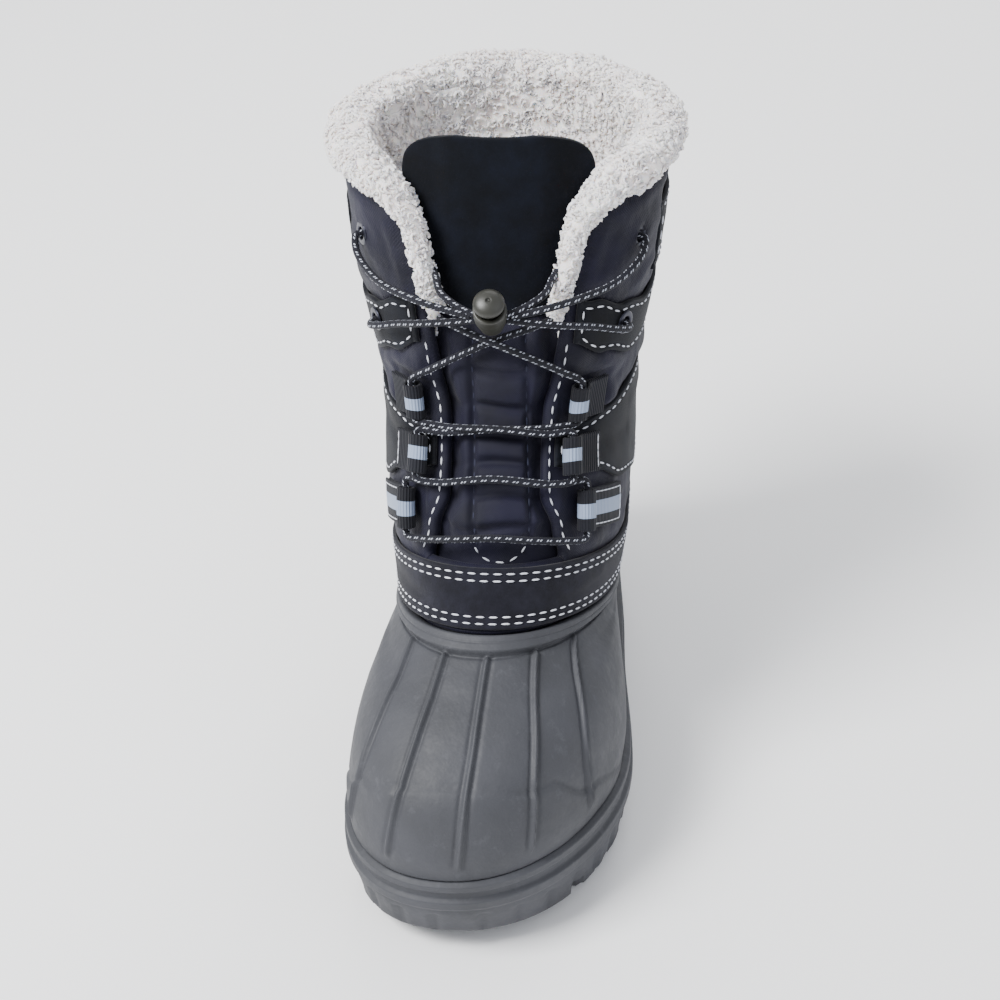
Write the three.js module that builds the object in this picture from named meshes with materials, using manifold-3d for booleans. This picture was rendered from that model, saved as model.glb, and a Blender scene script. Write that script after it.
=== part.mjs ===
// A left winter boot: a moulded rubber sole and shell, a padded textile shaft with nubuck overlays,
// a gusset tongue, a sherpa collar, and an elastic cord laced through webbing loops and eyelets.
// Millimetres. The toe points along -Y, the heel along +Y, the lateral side is +X and +Z is up.
import * as THREE from 'three';
import { mergeVertices } from 'three/addons/utils/BufferGeometryUtils.js';
import Module from 'manifold-3d';

const wasm = await Module();
wasm.setup();

// Driving sizes
const soleLength = 252;
const ballWidth = 103;
const bootHeight = 218;
const shellWall = 3;
const liningDepth = 5.6;
const overlayWall = 1.6;
const overlayLift = 0.2;
const insoleWall = 5;
const fit = 0.3;
const seat = 0.8;
const lugDepth = 5.5;
const toeSpring = 9;
const shaftLean = THREE.MathUtils.degToRad(0.6);
const leanPivot = 0.5 * bootHeight;
const leanSpan = 0.28 * bootHeight;

// Shell rim and ribs, in levels and in turns round the boot
const rimProud = 1.2;
const rimLevels = 0.32;
const ribProud = 1.2;
const ribWidth = 0.0055;
const ribCount = 5;
const ribMiddle = 0.002;
const ribPitchTop = 0.054;
const ribPitchToe = 0.058;

// Cord, loops, eyelets and cord lock
const cordDiameter = 2.6;
const eyeletHole = 4.4;
const eyeletFlange = 8.6;
const eyeletLip = 1;
const loopWidth = 14;
const webbing = 1.1;
const loopBore = 4.4;
const loopLift = 0.9;
const lockDiameter = 11.5;
const lockLength = 14;
const lockBore = 8.2;
const plungerDiameter = 7.4;
const plungerLength = 8;
const buttonDiameter = 9.6;
const buttonHeight = 3.2;
const buttonTravel = 3;

// One row for each loop round the boot, from the sole's feather edge to the collar. back and front are
// shares of soleLength, heights are shares of bootHeight, and ball, waist, heel and toeCurve are shares
// of ballWidth. nose and counter say how much of the loop's length its round ends take.
const sectionColumns = ['back', 'front', 'backHeight', 'frontHeight', 'ball', 'waist', 'heel',
  'toeCurve', 'nose', 'counter', 'dip'];
const sectionTable = {
  feather:  [0.484, -0.476, 0.135, 0.165, 0.470, 0.385, 0.335, -0.110, 0.30, 0.17, -0.030],
  bulge:    [0.492, -0.470, 0.185, 0.214, 0.480, 0.388, 0.348, -0.108, 0.31, 0.18, -0.028],
  shoulder: [0.492, -0.438, 0.229, 0.290, 0.455, 0.384, 0.350, -0.095, 0.33, 0.19, -0.025],
  toeTop:   [0.487, -0.371, 0.266, 0.340, 0.422, 0.380, 0.352, -0.070, 0.36, 0.20, -0.030],
  vamp:     [0.480, -0.299, 0.300, 0.371, 0.402, 0.380, 0.358, -0.045, 0.40, 0.22, -0.060],
  topline:  [0.472, -0.220, 0.340, 0.412, 0.396, 0.392, 0.370, -0.020, 0.44, 0.26, -0.092],
  bandTop:  [0.460, -0.162, 0.420, 0.496, 0.424, 0.420, 0.392, 0.000, 0.46, 0.32, -0.092],
  instep:   [0.452, -0.118, 0.500, 0.577, 0.440, 0.440, 0.410, 0.000, 0.48, 0.36, -0.070],
  ankle:    [0.448, -0.068, 0.585, 0.645, 0.440, 0.443, 0.415, 0.000, 0.50, 0.40, -0.040],
  strapTop: [0.450, -0.036, 0.670, 0.700, 0.454, 0.458, 0.432, 0.000, 0.50, 0.44, -0.020],
  upper:    [0.458, -0.018, 0.775, 0.790, 0.496, 0.502, 0.474, 0.000, 0.50, 0.46, -0.010],
  eyelet:   [0.466, 0.004, 0.885, 0.893, 0.535, 0.542, 0.512, 0.000, 0.50, 0.48, -0.005],
  collar:   [0.478, 0.030, 0.990, 0.998, 0.550, 0.557, 0.527, 0.000, 0.50, 0.50, 0.000],
};
const levelNames = Object.keys(sectionTable);
const level = Object.fromEntries(levelNames.map((name, i) => [name, i]));
const roundness = 2.15;
const toeSkew = 1.1;
const curveReach = 0.5;

function smoothstep(a, b, x) {
  const t = Math.min(1, Math.max(0, (x - a) / (b - a)));
  return t * t * (3 - 2 * t);
}

// A value of one column between the table's rows, on a Catmull-Rom curve.
function sectionValue(column, v) {
  const k = sectionColumns.indexOf(column);
  const last = levelNames.length - 1;
  const i = Math.min(last - 1, Math.max(0, Math.floor(v)));
  const t = v - i;
  const at = (n) => sectionTable[levelNames[Math.min(last, Math.max(0, n))]][k];
  if (v > last) return at(last) + (v - last) * (at(last) - at(last - 1));
  const [a, b, c, d] = [at(i - 1), at(i), at(i + 1), at(i + 2)];
  return b + 0.5 * t * (c - a + t * (2 * a - 5 * b + 4 * c - d + t * (3 * (b - c) + d - a)));
}

// How far a loop has opened, from 0 at its tip to 1 where its round end is over.
function roundEnd(share) {
  const t = 1 - Math.min(1, Math.max(0, share));
  return Math.pow(Math.max(0, 1 - Math.pow(t, roundness)), 1 / roundness);
}

// A point of the outer skin. u runs once round, from the front centre by the lateral side; v is the level.
function skin(u, v) {
  const turn = u - Math.floor(u);
  const side = turn < 0.5 ? 1 : -1;
  const s = (1 - Math.cos(2 * Math.PI * turn)) / 2;
  const curve = sectionValue('toeCurve', v);
  const nose = sectionValue('nose', v) * (1 - side * toeSkew * curve);
  const counter = sectionValue('counter', v);
  const ball = sectionValue('ball', v);
  const waist = sectionValue('waist', v);
  const heel = sectionValue('heel', v);
  const toWaist = smoothstep(nose * 0.6, 0.62, s);
  const toHeel = smoothstep(0.58, 1 - counter * 0.5, s);
  const half = (ball + (waist - ball) * toWaist + (heel - waist) * toHeel)
    * roundEnd(s / nose) * roundEnd((1 - s) / counter);
  const bend = curve * Math.pow(Math.max(0, 1 - s / curveReach), 2);
  const back = sectionValue('back', v);
  const front = sectionValue('front', v);
  const frontHeight = sectionValue('frontHeight', v);
  const rise = (sectionValue('backHeight', v) - frontHeight) * smoothstep(0, 1, s);
  const dip = sectionValue('dip', v) * Math.sin(Math.PI * s);
  const point = new THREE.Vector3(ballWidth * (side * half + bend),
    soleLength * (front + (back - front) * s), bootHeight * (frontHeight + rise + dip));
  return lean(point);
}

// The shaft leans a little to the lateral side above the ankle.
function lean(point) {
  const angle = shaftLean * smoothstep(leanPivot, leanPivot + leanSpan, point.z);
  const height = point.z - leanPivot;
  const x = point.x * Math.cos(angle) + height * Math.sin(angle);
  const z = leanPivot + height * Math.cos(angle) - point.x * Math.sin(angle);
  return new THREE.Vector3(x, point.y, z);
}

const probe = 0.002;
function skinNormal(u, v) {
  const across = skin(u + probe, v).sub(skin(u - probe, v));
  const low = Math.max(0, v - probe * 10);
  const up = skin(u, v + probe * 10).sub(skin(u, low));
  return across.cross(up).normalize();
}

// A point at a height above the skin, measured along its normal.
function above(u, v, height) {
  return skin(u, v).addScaledVector(skinNormal(u, v), height);
}

function geometryOf(points, triangles) {
  const flat = points.flatMap((p) => [p.x, p.y, p.z]);
  return new THREE.BufferGeometry()
    .setAttribute('position', new THREE.Float32BufferAttribute(flat, 3))
    .setIndex(triangles);
}

// Closes a grid of outer points and a grid of inner points into one wall.
function wallBetween(outer, inner, loop) {
  const rows = outer.length;
  const columns = outer[0].length;
  const points = [...outer.flat(), ...inner.flat()];
  const at = (layer, r, c) => layer * rows * columns + r * columns + (c % columns);
  const triangles = [];
  const quad = (a, b, c, d) => triangles.push(a, b, c, a, c, d);
  const spans = loop ? columns : columns - 1;
  for (let r = 0; r < rows - 1; r++) {
    for (let c = 0; c < spans; c++) {
      quad(at(0, r, c), at(0, r, c + 1), at(0, r + 1, c + 1), at(0, r + 1, c));
      quad(at(1, r, c), at(1, r + 1, c), at(1, r + 1, c + 1), at(1, r, c + 1));
    }
  }
  for (let c = 0; c < spans; c++) {
    quad(at(1, 0, c), at(1, 0, c + 1), at(0, 0, c + 1), at(0, 0, c));
    quad(at(0, rows - 1, c), at(0, rows - 1, c + 1), at(1, rows - 1, c + 1), at(1, rows - 1, c));
  }
  if (!loop) {
    for (let r = 0; r < rows - 1; r++) {
      quad(at(1, r, 0), at(0, r, 0), at(0, r + 1, 0), at(1, r + 1, 0));
      const e = columns - 1;
      quad(at(0, r, e), at(1, r, e), at(1, r + 1, e), at(0, r + 1, e));
    }
  }
  return geometryOf(points, triangles);
}

// A wall over the skin. place turns a column and a row into [u, v]; heights are numbers or functions.
function wallOver(columns, rows, place, outer, inner, loop = false) {
  const grid = (height) => rows.map((row) => columns.map((column) => {
    const [u, v] = place(column, row);
    return above(u, v, typeof height === 'function' ? height(u, v, column, row) : height);
  }));
  return wallBetween(grid(outer), grid(inner), loop);
}

// How many millimetres one turn and one level are worth at a place on the skin.
function scaleAt(u, v) {
  const turn = skin(u + probe, v).distanceTo(skin(u - probe, v)) / (2 * probe);
  const rise = skin(u, v + 0.1).distanceTo(skin(u, v - 0.1)) / 0.2;
  return [turn, rise];
}

function evenly(from, to, count) {
  return Array.from({ length: count + 1 }, (_, i) => from + (to - from) * i / count);
}

function solidOf(geometry) {
  const bare = geometry.clone();
  bare.deleteAttribute('normal');
  bare.deleteAttribute('uv');
  const merged = mergeVertices(bare, 1e-4);
  return new wasm.Manifold(new wasm.Mesh({
    numProp: 3,
    vertProperties: new Float32Array(merged.attributes.position.array),
    triVerts: new Uint32Array(merged.index.array),
  }));
}

function geometryOfSolid(solid) {
  const mesh = solid.getMesh();
  return new THREE.BufferGeometry()
    .setAttribute('position', new THREE.Float32BufferAttribute(mesh.vertProperties, 3))
    .setIndex(Array.from(mesh.triVerts));
}

// Finishes
const finish = (color, roughness, metalness = 0) =>
  new THREE.MeshStandardMaterial({ color, roughness, metalness });
const rubber = finish('#5d5e62', 0.6);
const textile = finish('#1f1e2d', 0.75);
const nubuck = finish('#20252f', 0.9);
const suede = finish('#2b2a35', 0.9);
const fleece = finish('#e6ddd6', 1);
const felt = finish('#8d8a88', 1);
const cordYarn = finish('#22222e', 0.7);
const webbingYarn = finish('#1b1d2c', 0.7);
const hardBlack = finish('#3a3a35', 0.4);
const lacquer = finish('#23232f', 0.35, 0.6);

const boot = new THREE.Group();
function add(name, geometry, material) {
  const mesh = new THREE.Mesh(geometry, material);
  mesh.name = name;
  boot.add(mesh);
  return mesh;
}

// Reads a value between the rows of a table of [at, value], eased.
function eased(rows, x) {
  const last = rows.length - 1;
  if (x <= rows[0][0]) return rows[0][1];
  if (x >= rows[last][0]) return rows[last][1];
  const i = rows.findLastIndex((row) => row[0] <= x);
  const [a, b] = [rows[i], rows[i + 1]];
  return a[1] + (b[1] - a[1]) * smoothstep(a[0], b[0], x);
}

// Sole. From the bottom up: share is the height in the sole, out is how far it stands out past the feather line.
const soleColumns = 44;
const springEnd = 0.26;
const soleSteps = [
  { share: 0.00, out: -2.5 },
  { share: 0.10, out: 0.4 },
  { share: 0.55, out: 2.2 },
  { share: 0.60, out: 3.3 },
  { share: 0.70, out: 3.3 },
  { share: 0.75, out: 1.8 },
  { share: 0.85, out: 1.6 },
  { share: 0.89, out: 2.7 },
  { share: 0.96, out: 2.6 },
  { share: 1.00, out: 0.9 },
];

function soleLoop(step) {
  return evenly(0, 1, soleColumns).slice(0, -1).map((u) => {
    const edge = skin(u, level.feather);
    const side = skinNormal(u, level.feather).setZ(0).normalize();
    const s = (1 - Math.cos(2 * Math.PI * u)) / 2;
    const bottom = toeSpring * Math.pow(Math.max(0, 1 - s / springEnd), 2);
    const top = edge.z - fit;
    const point = edge.clone().addScaledVector(side, step.out);
    return point.setZ(bottom + step.share * (top - bottom));
  });
}

// Closes a stack of loops. Points that face each other across the loop share one station, so the caps are strips.
function stackOfLoops(loops) {
  const n = loops[0].length;
  const points = loops.flat();
  const triangles = [];
  for (let r = 0; r < loops.length - 1; r++) {
    for (let c = 0; c < n; c++) {
      const [a, b] = [r * n + c, r * n + (c + 1) % n];
      triangles.push(a, b, b + n, a, b + n, a + n);
    }
  }
  const cap = (base, up) => {
    for (let c = 0; c < n / 2; c++) {
      const [a, b, d, e] = [c, c + 1, (n - c - 1) % n, (n - c) % n].map((i) => base + i);
      const faces = [];
      if (b !== d) faces.push([a, b, d]);
      if (a !== e) faces.push([a, d, e]);
      faces.forEach((f) => triangles.push(...(up ? f : f.reverse())));
    }
  };
  cap(0, false);
  cap((loops.length - 1) * n, true);
  return geometryOf(points, triangles);
}

function box(x, y, z, cx, cy, cz) {
  return solidOf(new THREE.BoxGeometry(x, y, z).translate(cx, cy, cz));
}

const grooveWidth = 0.019 * soleLength;
const archFrom = 0.035 * soleLength;
const archTo = 0.155 * soleLength;
const archLift = 7;
const forefootGrooves = evenly(-0.37, -0.03, 5).map((share) => share * soleLength);
const heelGrooves = evenly(0.24, 0.41, 3).map((share) => share * soleLength);

function outsole() {
  let sole = solidOf(stackOfLoops(soleSteps.map(soleLoop)));
  const across = 2 * ballWidth;
  const cutHeight = lugDepth * 2;
  const cuts = forefootGrooves.map((y, i) => box(across, grooveWidth,
    cutHeight + (i === 0 ? toeSpring : 0), 0, y, 0));
  heelGrooves.forEach((y) => cuts.push(box(across, grooveWidth, cutHeight, 0, y, 0)));
  const centre = skin(0, level.feather).x * 0.4;
  cuts.push(box(grooveWidth, 0.42 * soleLength, cutHeight, centre, -0.17 * soleLength, 0));
  cuts.push(box(grooveWidth, 0.2 * soleLength, cutHeight, 0, 0.31 * soleLength, 0));
  const archShape = new THREE.Shape([
    new THREE.Vector2(archFrom - archLift, -1), new THREE.Vector2(archTo + 0.4 * archLift, -1),
    new THREE.Vector2(archTo, archLift), new THREE.Vector2(archFrom + archLift, archLift)]);
  const arch = new THREE.ExtrudeGeometry(archShape, { depth: across, bevelEnabled: false });
  arch.rotateX(Math.PI / 2).rotateZ(Math.PI / 2).translate(-across / 2, 0, 0);
  cuts.push(solidOf(arch));
  for (const cut of cuts) sole = sole.subtract(cut);
  return geometryOfSolid(sole);
}
add('outsole', outsole(), rubber);

// Insole
const insoleEdge = -(shellWall + 0.9);
function insole() {
  const loops = [0, insoleWall].map((height) => evenly(0, 1, 28).slice(0, -1).map((u) => {
    const edge = skin(u, level.feather);
    const side = skinNormal(u, level.feather).setZ(0).normalize();
    return edge.addScaledVector(side, insoleEdge).add(new THREE.Vector3(0, 0, height + fit * 0.5));
  }));
  return stackOfLoops(loops);
}
add('insole', insole(), felt);

// Shell, with its ribs over the toe and the rim round its top. A column is its u at the toe and at the topline.
function shellColumns() {
  const offsets = [-1.6, -0.6, 0.6, 1.6].map((k) => k * ribWidth);
  const half = (ribCount - 1) / 2;
  const lines = [];
  for (const rib of evenly(-half, half, ribCount - 1)) {
    offsets.forEach((o) => lines.push([ribMiddle + rib * ribPitchToe + o, ribMiddle + rib * ribPitchTop + o]));
    if (rib < half) {
      lines.push([ribMiddle + (rib + 0.5) * ribPitchToe, ribMiddle + (rib + 0.5) * ribPitchTop]);
    }
  }
  const [first, last] = [lines[0], lines.at(-1)];
  evenly(0, 1, 21).slice(1, -1).forEach((k) => lines.push(
    [0, 1].map((i) => last[i] + (1 + first[i] - last[i]) * k)));
  return lines;
}

const ribFrom = level.bulge - 0.3;
const ribTo = level.topline - rimLevels - 0.06;
const shellRows = [
  { v: 0.02, ribbed: 0, rim: 0 }, { v: 0.62, ribbed: 0, rim: 0 }, { v: 0.78, ribbed: 1, rim: 0 },
  { v: 1.5, ribbed: 1, rim: 0 }, { v: 2.2, ribbed: 1, rim: 0 }, { v: 3, ribbed: 1, rim: 0 },
  { v: ribTo - 0.1, ribbed: 1, rim: 0 },
  { v: ribTo, ribbed: 0, rim: 0 }, { v: level.topline - rimLevels, ribbed: 0, rim: 1 },
  { v: level.topline, ribbed: 0, rim: 1 },
];
const alongColumn = ([low, high], v) => low + (high - low) * Math.min(1, v / level.topline);

function shell() {
  const half = (ribCount - 1) / 2;
  const onRib = ([low]) => {
    const rib = (low - ribMiddle) / ribPitchToe;
    return Math.abs(rib) < half + 0.5 && Math.abs(rib - Math.round(rib)) * ribPitchToe < ribWidth ? 1 : 0;
  };
  const outer = (u, v, column, row) => rimProud * row.rim + ribProud * row.ribbed * onRib(column);
  return wallOver(shellColumns(), shellRows, (column, row) => [alongColumn(column, row.v), row.v],
    outer, -shellWall, true);
}
add('shell', shell(), rubber);

// The throat's half opening in turns, by level
const throatFoot = 6.05;
const throatTable = [[6.05, 0.086], [6.5, 0.074], [7.2, 0.056], [8.9, 0.056], [9.6, 0.064],
  [10.4, 0.068], [11.1, 0.092], [11.75, 0.122], [12.6, 0.15]];
const throatHalf = (v) => eased(throatTable, v);
const shaftTop = 11.75;

// A sweep along centres: each section is an ellipse with halves across and along the reference direction.
function sweep(stations, sides) {
  const n = stations.length;
  const points = [];
  stations.forEach((station, i) => {
    const ahead = stations[Math.min(n - 1, i + 1)].at.clone().sub(stations[Math.max(0, i - 1)].at).normalize();
    const across = ahead.clone().cross(station.up).normalize();
    const up = across.clone().cross(ahead).normalize();
    for (let k = 0; k < sides; k++) {
      const angle = 2 * Math.PI * k / sides;
      points.push(station.at.clone().addScaledVector(across, station.wide * Math.cos(angle))
        .addScaledVector(up, station.high * Math.sin(angle)));
    }
  });
  points.push(stations[0].at.clone(), stations[n - 1].at.clone());
  const triangles = [];
  for (let i = 0; i < n - 1; i++) {
    for (let k = 0; k < sides; k++) {
      const [a, b] = [i * sides + k, i * sides + (k + 1) % sides];
      triangles.push(a, b + sides, b, a, a + sides, b + sides);
    }
  }
  for (let k = 0; k < sides; k++) {
    const next = (k + 1) % sides;
    triangles.push(n * sides, k, next, n * sides + 1, (n - 1) * sides + next, (n - 1) * sides + k);
  }
  return geometryOf(points, triangles);
}

// Eased points through [u, v, height] stops, with the skin's normal at each.
function route(stops, pieces) {
  const curve = new THREE.CatmullRomCurve3(stops.map((stop) => new THREE.Vector3(...stop)), false, 'centripetal');
  return evenly(0, 1, pieces).map((t) => {
    const { x: u, y: v, z: height } = curve.getPoint(t);
    return { at: above(u, v, height), up: skinNormal(u, v) };
  });
}

// Fleece roll: up one side of the throat, round the collar and down the other side
const fleeceHigh = 8;
const fleeceWide = 7.2;
const fleeceTip = 10.45;
const fleeceStops = [[0.060, 10.45, -1.5], [0.064, 10.8, -1.5], [0.076, 11.15, -2], [0.095, 11.55, -2],
  [0.118, 11.88, -2], [0.155, 12.02, -2], [0.23, 12.03, -2], [0.31, 12.03, -2], [0.40, 12.03, -2], [0.5, 12.03, -2]];
const lumps = [{ turns: 9, size: 0.045, phase: 0.6 }, { turns: 17, size: 0.04, phase: 2.1 }];
function fleeceRoll(grow) {
  const other = fleeceStops.slice(0, -1).reverse().map(([u, v, height]) => [1 - u, v, height]);
  const stations = route([...fleeceStops, ...other], 44);
  stations.forEach((station, i) => {
    const t = i / (stations.length - 1);
    const fromTip = Math.min(t, 1 - t);
    const taper = Math.max(0.3, Math.min(1, 0.3 + 5 * fromTip));
    const lump = 1 + lumps.reduce((sum, l) => sum + l.size * Math.sin(2 * Math.PI * l.turns * t + l.phase), 0);
    station.wide = fleeceWide * taper * lump + grow;
    station.high = fleeceHigh * (0.4 + 0.6 * taper) * lump + grow;
  });
  return sweep(stations, 8);
}
add('fleece_collar', fleeceRoll(0), fleece);

const loopPlaces = [
  { name: 'low', v: 6.82, eye: 0.100, reach: 24, base: 0, slope: 0.005 },
  { name: 'middle', v: 7.82, eye: 0.080, reach: 13, base: overlayWall, slope: 0.004 },
  { name: 'high', v: 8.97, eye: 0.088, reach: 13.5, base: 0, slope: 0.004 },
];
const eyeletPlaces = [
  { name: 'low', u: 0.144, v: 10.12, base: overlayWall },
  { name: 'high', u: 0.157, v: 11.3, base: 0 },
];
const bothSides = [{ name: 'lateral', sign: 1 }, { name: 'medial', sign: -1 }];

// A lathed shape that stands on the skin; profile is [radius, height] from the axis outwards.
function standing(u, v, profile, sides) {
  const turn = new THREE.Quaternion().setFromUnitVectors(new THREE.Vector3(0, 1, 0), skinNormal(u, v));
  const lathe = new THREE.LatheGeometry(profile.map(([r, h]) => new THREE.Vector2(r, h)), sides);
  return lathe.applyQuaternion(turn).translate(...skin(u, v).toArray());
}

const drillRadius = eyeletHole / 2 + 0.5 + fit;
function drilled(solid, places) {
  let done = solid;
  const profile = [[0, -3 * liningDepth], [drillRadius, -3 * liningDepth], [drillRadius, 2 * liningDepth],
    [0, 2 * liningDepth]];
  for (const place of places) {
    for (const side of bothSides) {
      done = done.subtract(solidOf(standing(side.sign * place.u, place.v, profile, 10)));
    }
  }
  return done;
}

// Shaft: one wall from inside the shell up to the collar, with the throat and the eyelet holes cut out
const shaftRows = [
  ...[3, 3.9, 4.52, 5.04].map((v) => ({ v, outer: -(shellWall + 1.6), inner: -(liningDepth + 0.9) })),
  ...[5.05, 5.7, 6.4, 7.2, 8.2, 9.2, 10.2, 11, shaftTop].map((v) => ({ v, outer: -seat, inner: -liningDepth })),
];
function shaft() {
  const columns = evenly(0, 1, 34).slice(0, -1);
  const tube = solidOf(wallOver(columns, shaftRows, (u, row) => [u, row.v],
    (u, v, column, row) => row.outer, (u, v, column, row) => row.inner, true));
  const cutter = wallOver(evenly(-1, 1, 5), evenly(throatFoot, shaftTop + 0.6, 10),
    (k, v) => [k * throatHalf(v), v], 2 * liningDepth, -3 * liningDepth);
  const opened = tube.subtract(solidOf(cutter)).subtract(solidOf(fleeceRoll(fit)));
  const whole = drilled(opened, eyeletPlaces).decompose().sort((a, b) => b.volume() - a.volume())[0];
  return geometryOfSolid(whole);
}
add('shaft', shaft(), textile);

// Tongue: tucked behind the throat's edges, crowned between them, flat behind the fleece
const tongueTuck = [[9.3, -(liningDepth + 0.7)], [10.5, -10.4]];
const tongueCrown = [[6.14, -(liningDepth + 0.7)], [6.8, -1.2], [9.5, -1.2], [10.7, -9.6]];
const tongueRows = [5.5, 6.14, 6.4, 6.7, 7.2, 7.8, 8.4, 9, 9.5, 9.9, 10.3, 10.7, 11.2, 11.8, 12.3, 12.7];
const tongueWidth = [[5.5, 0.105], [6.4, 0.098], [7.2, 0.078], [8.9, 0.078], [10.2, 0.088], [11.2, 0.105],
  [12.2, 0.105], [12.7, 0.078]];
const tongueWall = 4.2;
// Columns of the tongue: a share of its own half width, of the throat's half opening, and how far it is crowned.
const tongueColumns = [
  { whole: 1, throat: 0, inset: 0, crown: 0 },
  { whole: 0, throat: 1, inset: 0.004, crown: 0 },
  { whole: 0, throat: 1, inset: 0.015, crown: 0.75 },
  { whole: 0, throat: 1, inset: 0.024, crown: 1 },
  { whole: 0, throat: 0.35, inset: 0, crown: 0.9 },
  { whole: 0, throat: 0, inset: 0, crown: 1 },
];
function tongue() {
  const place = (column, v) => {
    const share = column.whole * eased(tongueWidth, v) + column.throat * Math.min(throatHalf(v), 0.07)
      - column.inset;
    return [column.sign * share, v];
  };
  const columns = [...tongueColumns.map((c) => ({ ...c, sign: -1 })),
    ...tongueColumns.slice(0, -1).reverse().map((c) => ({ ...c, sign: 1 }))];
  const outer = (u, v, column) => {
    const tuck = eased(tongueTuck, v);
    return tuck + (eased(tongueCrown, v) - tuck) * column.crown;
  };
  const inner = (u, v, column) => outer(u, v, column) - tongueWall;
  return wallOver(columns, tongueRows, place, outer, inner);
}
add('tongue', tongue(), textile);

// Overlays: each has [u, level] tables for its foot and its head, from its front edge to the back
const overlays = [
  { name: 'vamp_band', material: suede, front: 0, columns: 32,
    foot: [[0, 5.08]], head: [[0, 6.0], [0.3, 5.97]] },
  { name: 'ankle_strap', material: nubuck, front: 0.068, columns: 22,
    foot: [[0.06, 7.64], [0.12, 7.4], [0.18, 7.05], [0.28, 6.75], [0.5, 6.6]],
    head: [[0.06, 8.2], [0.10, 8.4], [0.14, 8.52], [0.22, 8.76], [0.5, 8.95]] },
  { name: 'collar_band', material: nubuck, front: 0.079, columns: 20,
    foot: [[0.075, 10.08], [0.12, 9.75], [0.18, 9.42], [0.3, 9.3]],
    head: [[0.075, 10.72], [0.10, 10.66], [0.145, 10.4], [0.2, 10.2], [0.3, 10.15]] },
  { name: 'back_panel', material: nubuck, front: 0.208, columns: 14,
    foot: [[0.2, 10.5], [0.5, 10.4]], head: [[0.2, 11.45], [0.5, 11.4]] },
];
function overlay({ front, columns, foot, head }) {
  const loop = front === 0;
  const us = evenly(front, 1 - front, columns);
  if (loop) us.pop();
  const place = (u, t) => {
    const fromFront = Math.min(u, 1 - u);
    const [low, high] = [eased(foot, fromFront), eased(head, fromFront)];
    return [u, low + (high - low) * t];
  };
  return wallOver(us, evenly(0, 1, loop ? 2 : 3), place, overlayWall, overlayLift, loop);
}
for (const piece of overlays) {
  const solid = solidOf(overlay(piece));
  const places = piece.name === 'collar_band' ? eyeletPlaces.slice(0, 1) : [];
  add(piece.name, geometryOfSolid(drilled(solid, places)), piece.material);
}

// Eyelets
function eyelet(place, sign) {
  const hole = eyeletHole / 2;
  const seatHeight = place.base + fit;
  const top = seatHeight + eyeletLip;
  const foot = place.base - 3.2;
  return standing(sign * place.u, place.v, [[hole, foot], [hole + 0.5, foot], [hole + 0.5, seatHeight],
    [eyeletFlange / 2, seatHeight], [eyeletFlange / 2 - 0.4, top], [hole, top], [hole, foot]], 10);
}
for (const place of eyeletPlaces) {
  for (const side of bothSides) add(`eyelet_${place.name}_${side.name}`, eyelet(place, side.sign), lacquer);
}

// Webbing loops: a doubled tab that folds round a bore for the cord. Section points are [along, height].
function loopSection(reach) {
  const bore = loopBore / 2;
  const out = bore + webbing;
  const tab = 2 * webbing;
  const ring = (radius, degrees) => {
    const angle = THREE.MathUtils.degToRad(degrees);
    return [-radius * Math.cos(angle), out + radius * Math.sin(angle)];
  };
  const angles = [-90, -50, 0, 50, 90, 130, 180, 230];
  const inner = [...angles.map((a) => ring(bore, a))];
  const outer = [[0, 0], ...angles.slice(1, 5).map((a) => ring(out, a)), [out * 0.95, tab + 1.2],
    [reach, tab], [reach, 0]];
  return { inner, outer };
}
function webbingLoop(place, sign) {
  const { inner, outer } = loopSection(place.reach);
  const [turnScale, levelScale] = scaleAt(sign * place.eye, place.v);
  const grid = (section) => evenly(-0.5, 0.5, 3).map((t) => section.map(([along, height]) => {
    const u = sign * (place.eye + along / turnScale);
    const v = place.v + t * loopWidth / levelScale - place.slope * Math.max(0, along);
    return above(u, v, place.base + loopLift + height);
  }));
  const wall = sign > 0 ? wallBetween(grid(outer), grid(inner), true)
    : wallBetween(grid(outer).reverse(), grid(inner).reverse(), true);
  return wall;
}
for (const place of loopPlaces) {
  for (const side of bothSides) add(`loop_${place.name}_${side.name}`, webbingLoop(place, side.sign), webbingYarn);
}

// Lace. Stops are [u, level, height] for the strand that ends at the medial side; the other one mirrors it.
const eyeHeight = loopLift + loopBore / 2 + webbing;
const laceHeight = 2.4;
const [lowLoop, middleLoop, highLoop] = loopPlaces;
const atLoop = (place, side, levels) => [side * place.eye, place.v + levels, place.base + eyeHeight];
const through = (place, side) => [-0.46, -0.2, 0.2, 0.46].map((levels) => atLoop(place, side, levels));
const laceStops = [
  [0, 6.5, laceHeight], [0.04, 6.44, laceHeight], [0.078, 6.36, laceHeight + 0.5], ...through(lowLoop, 1),
  [0.07, 7.32, laceHeight + 0.5], [0, 7.48, laceHeight], [-0.06, 7.34, laceHeight + 1],
  ...through(middleLoop, -1), [-0.055, 8.34, laceHeight + 1],
  [0, 8.56, laceHeight], [0.06, 8.5, laceHeight + 0.6], ...through(highLoop, 1),
  [0.062, 9.72, laceHeight + 0.6], [0, 10.27, laceHeight], [-0.026, 10.45, laceHeight + 1.6],
];
function strand(stops, pieces, grow = 0) {
  const radius = cordDiameter / 2 + grow;
  const stations = route(stops, pieces).map((station) => ({ ...station, wide: radius, high: radius }));
  return solidOf(sweep(stations, 5));
}
const mirrored = (stops) => stops.map(([u, v, height]) => [-u, v, height]);
add('lace_lower', geometryOfSolid(strand(laceStops, 60).add(strand(mirrored(laceStops), 60))), cordYarn);

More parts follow.
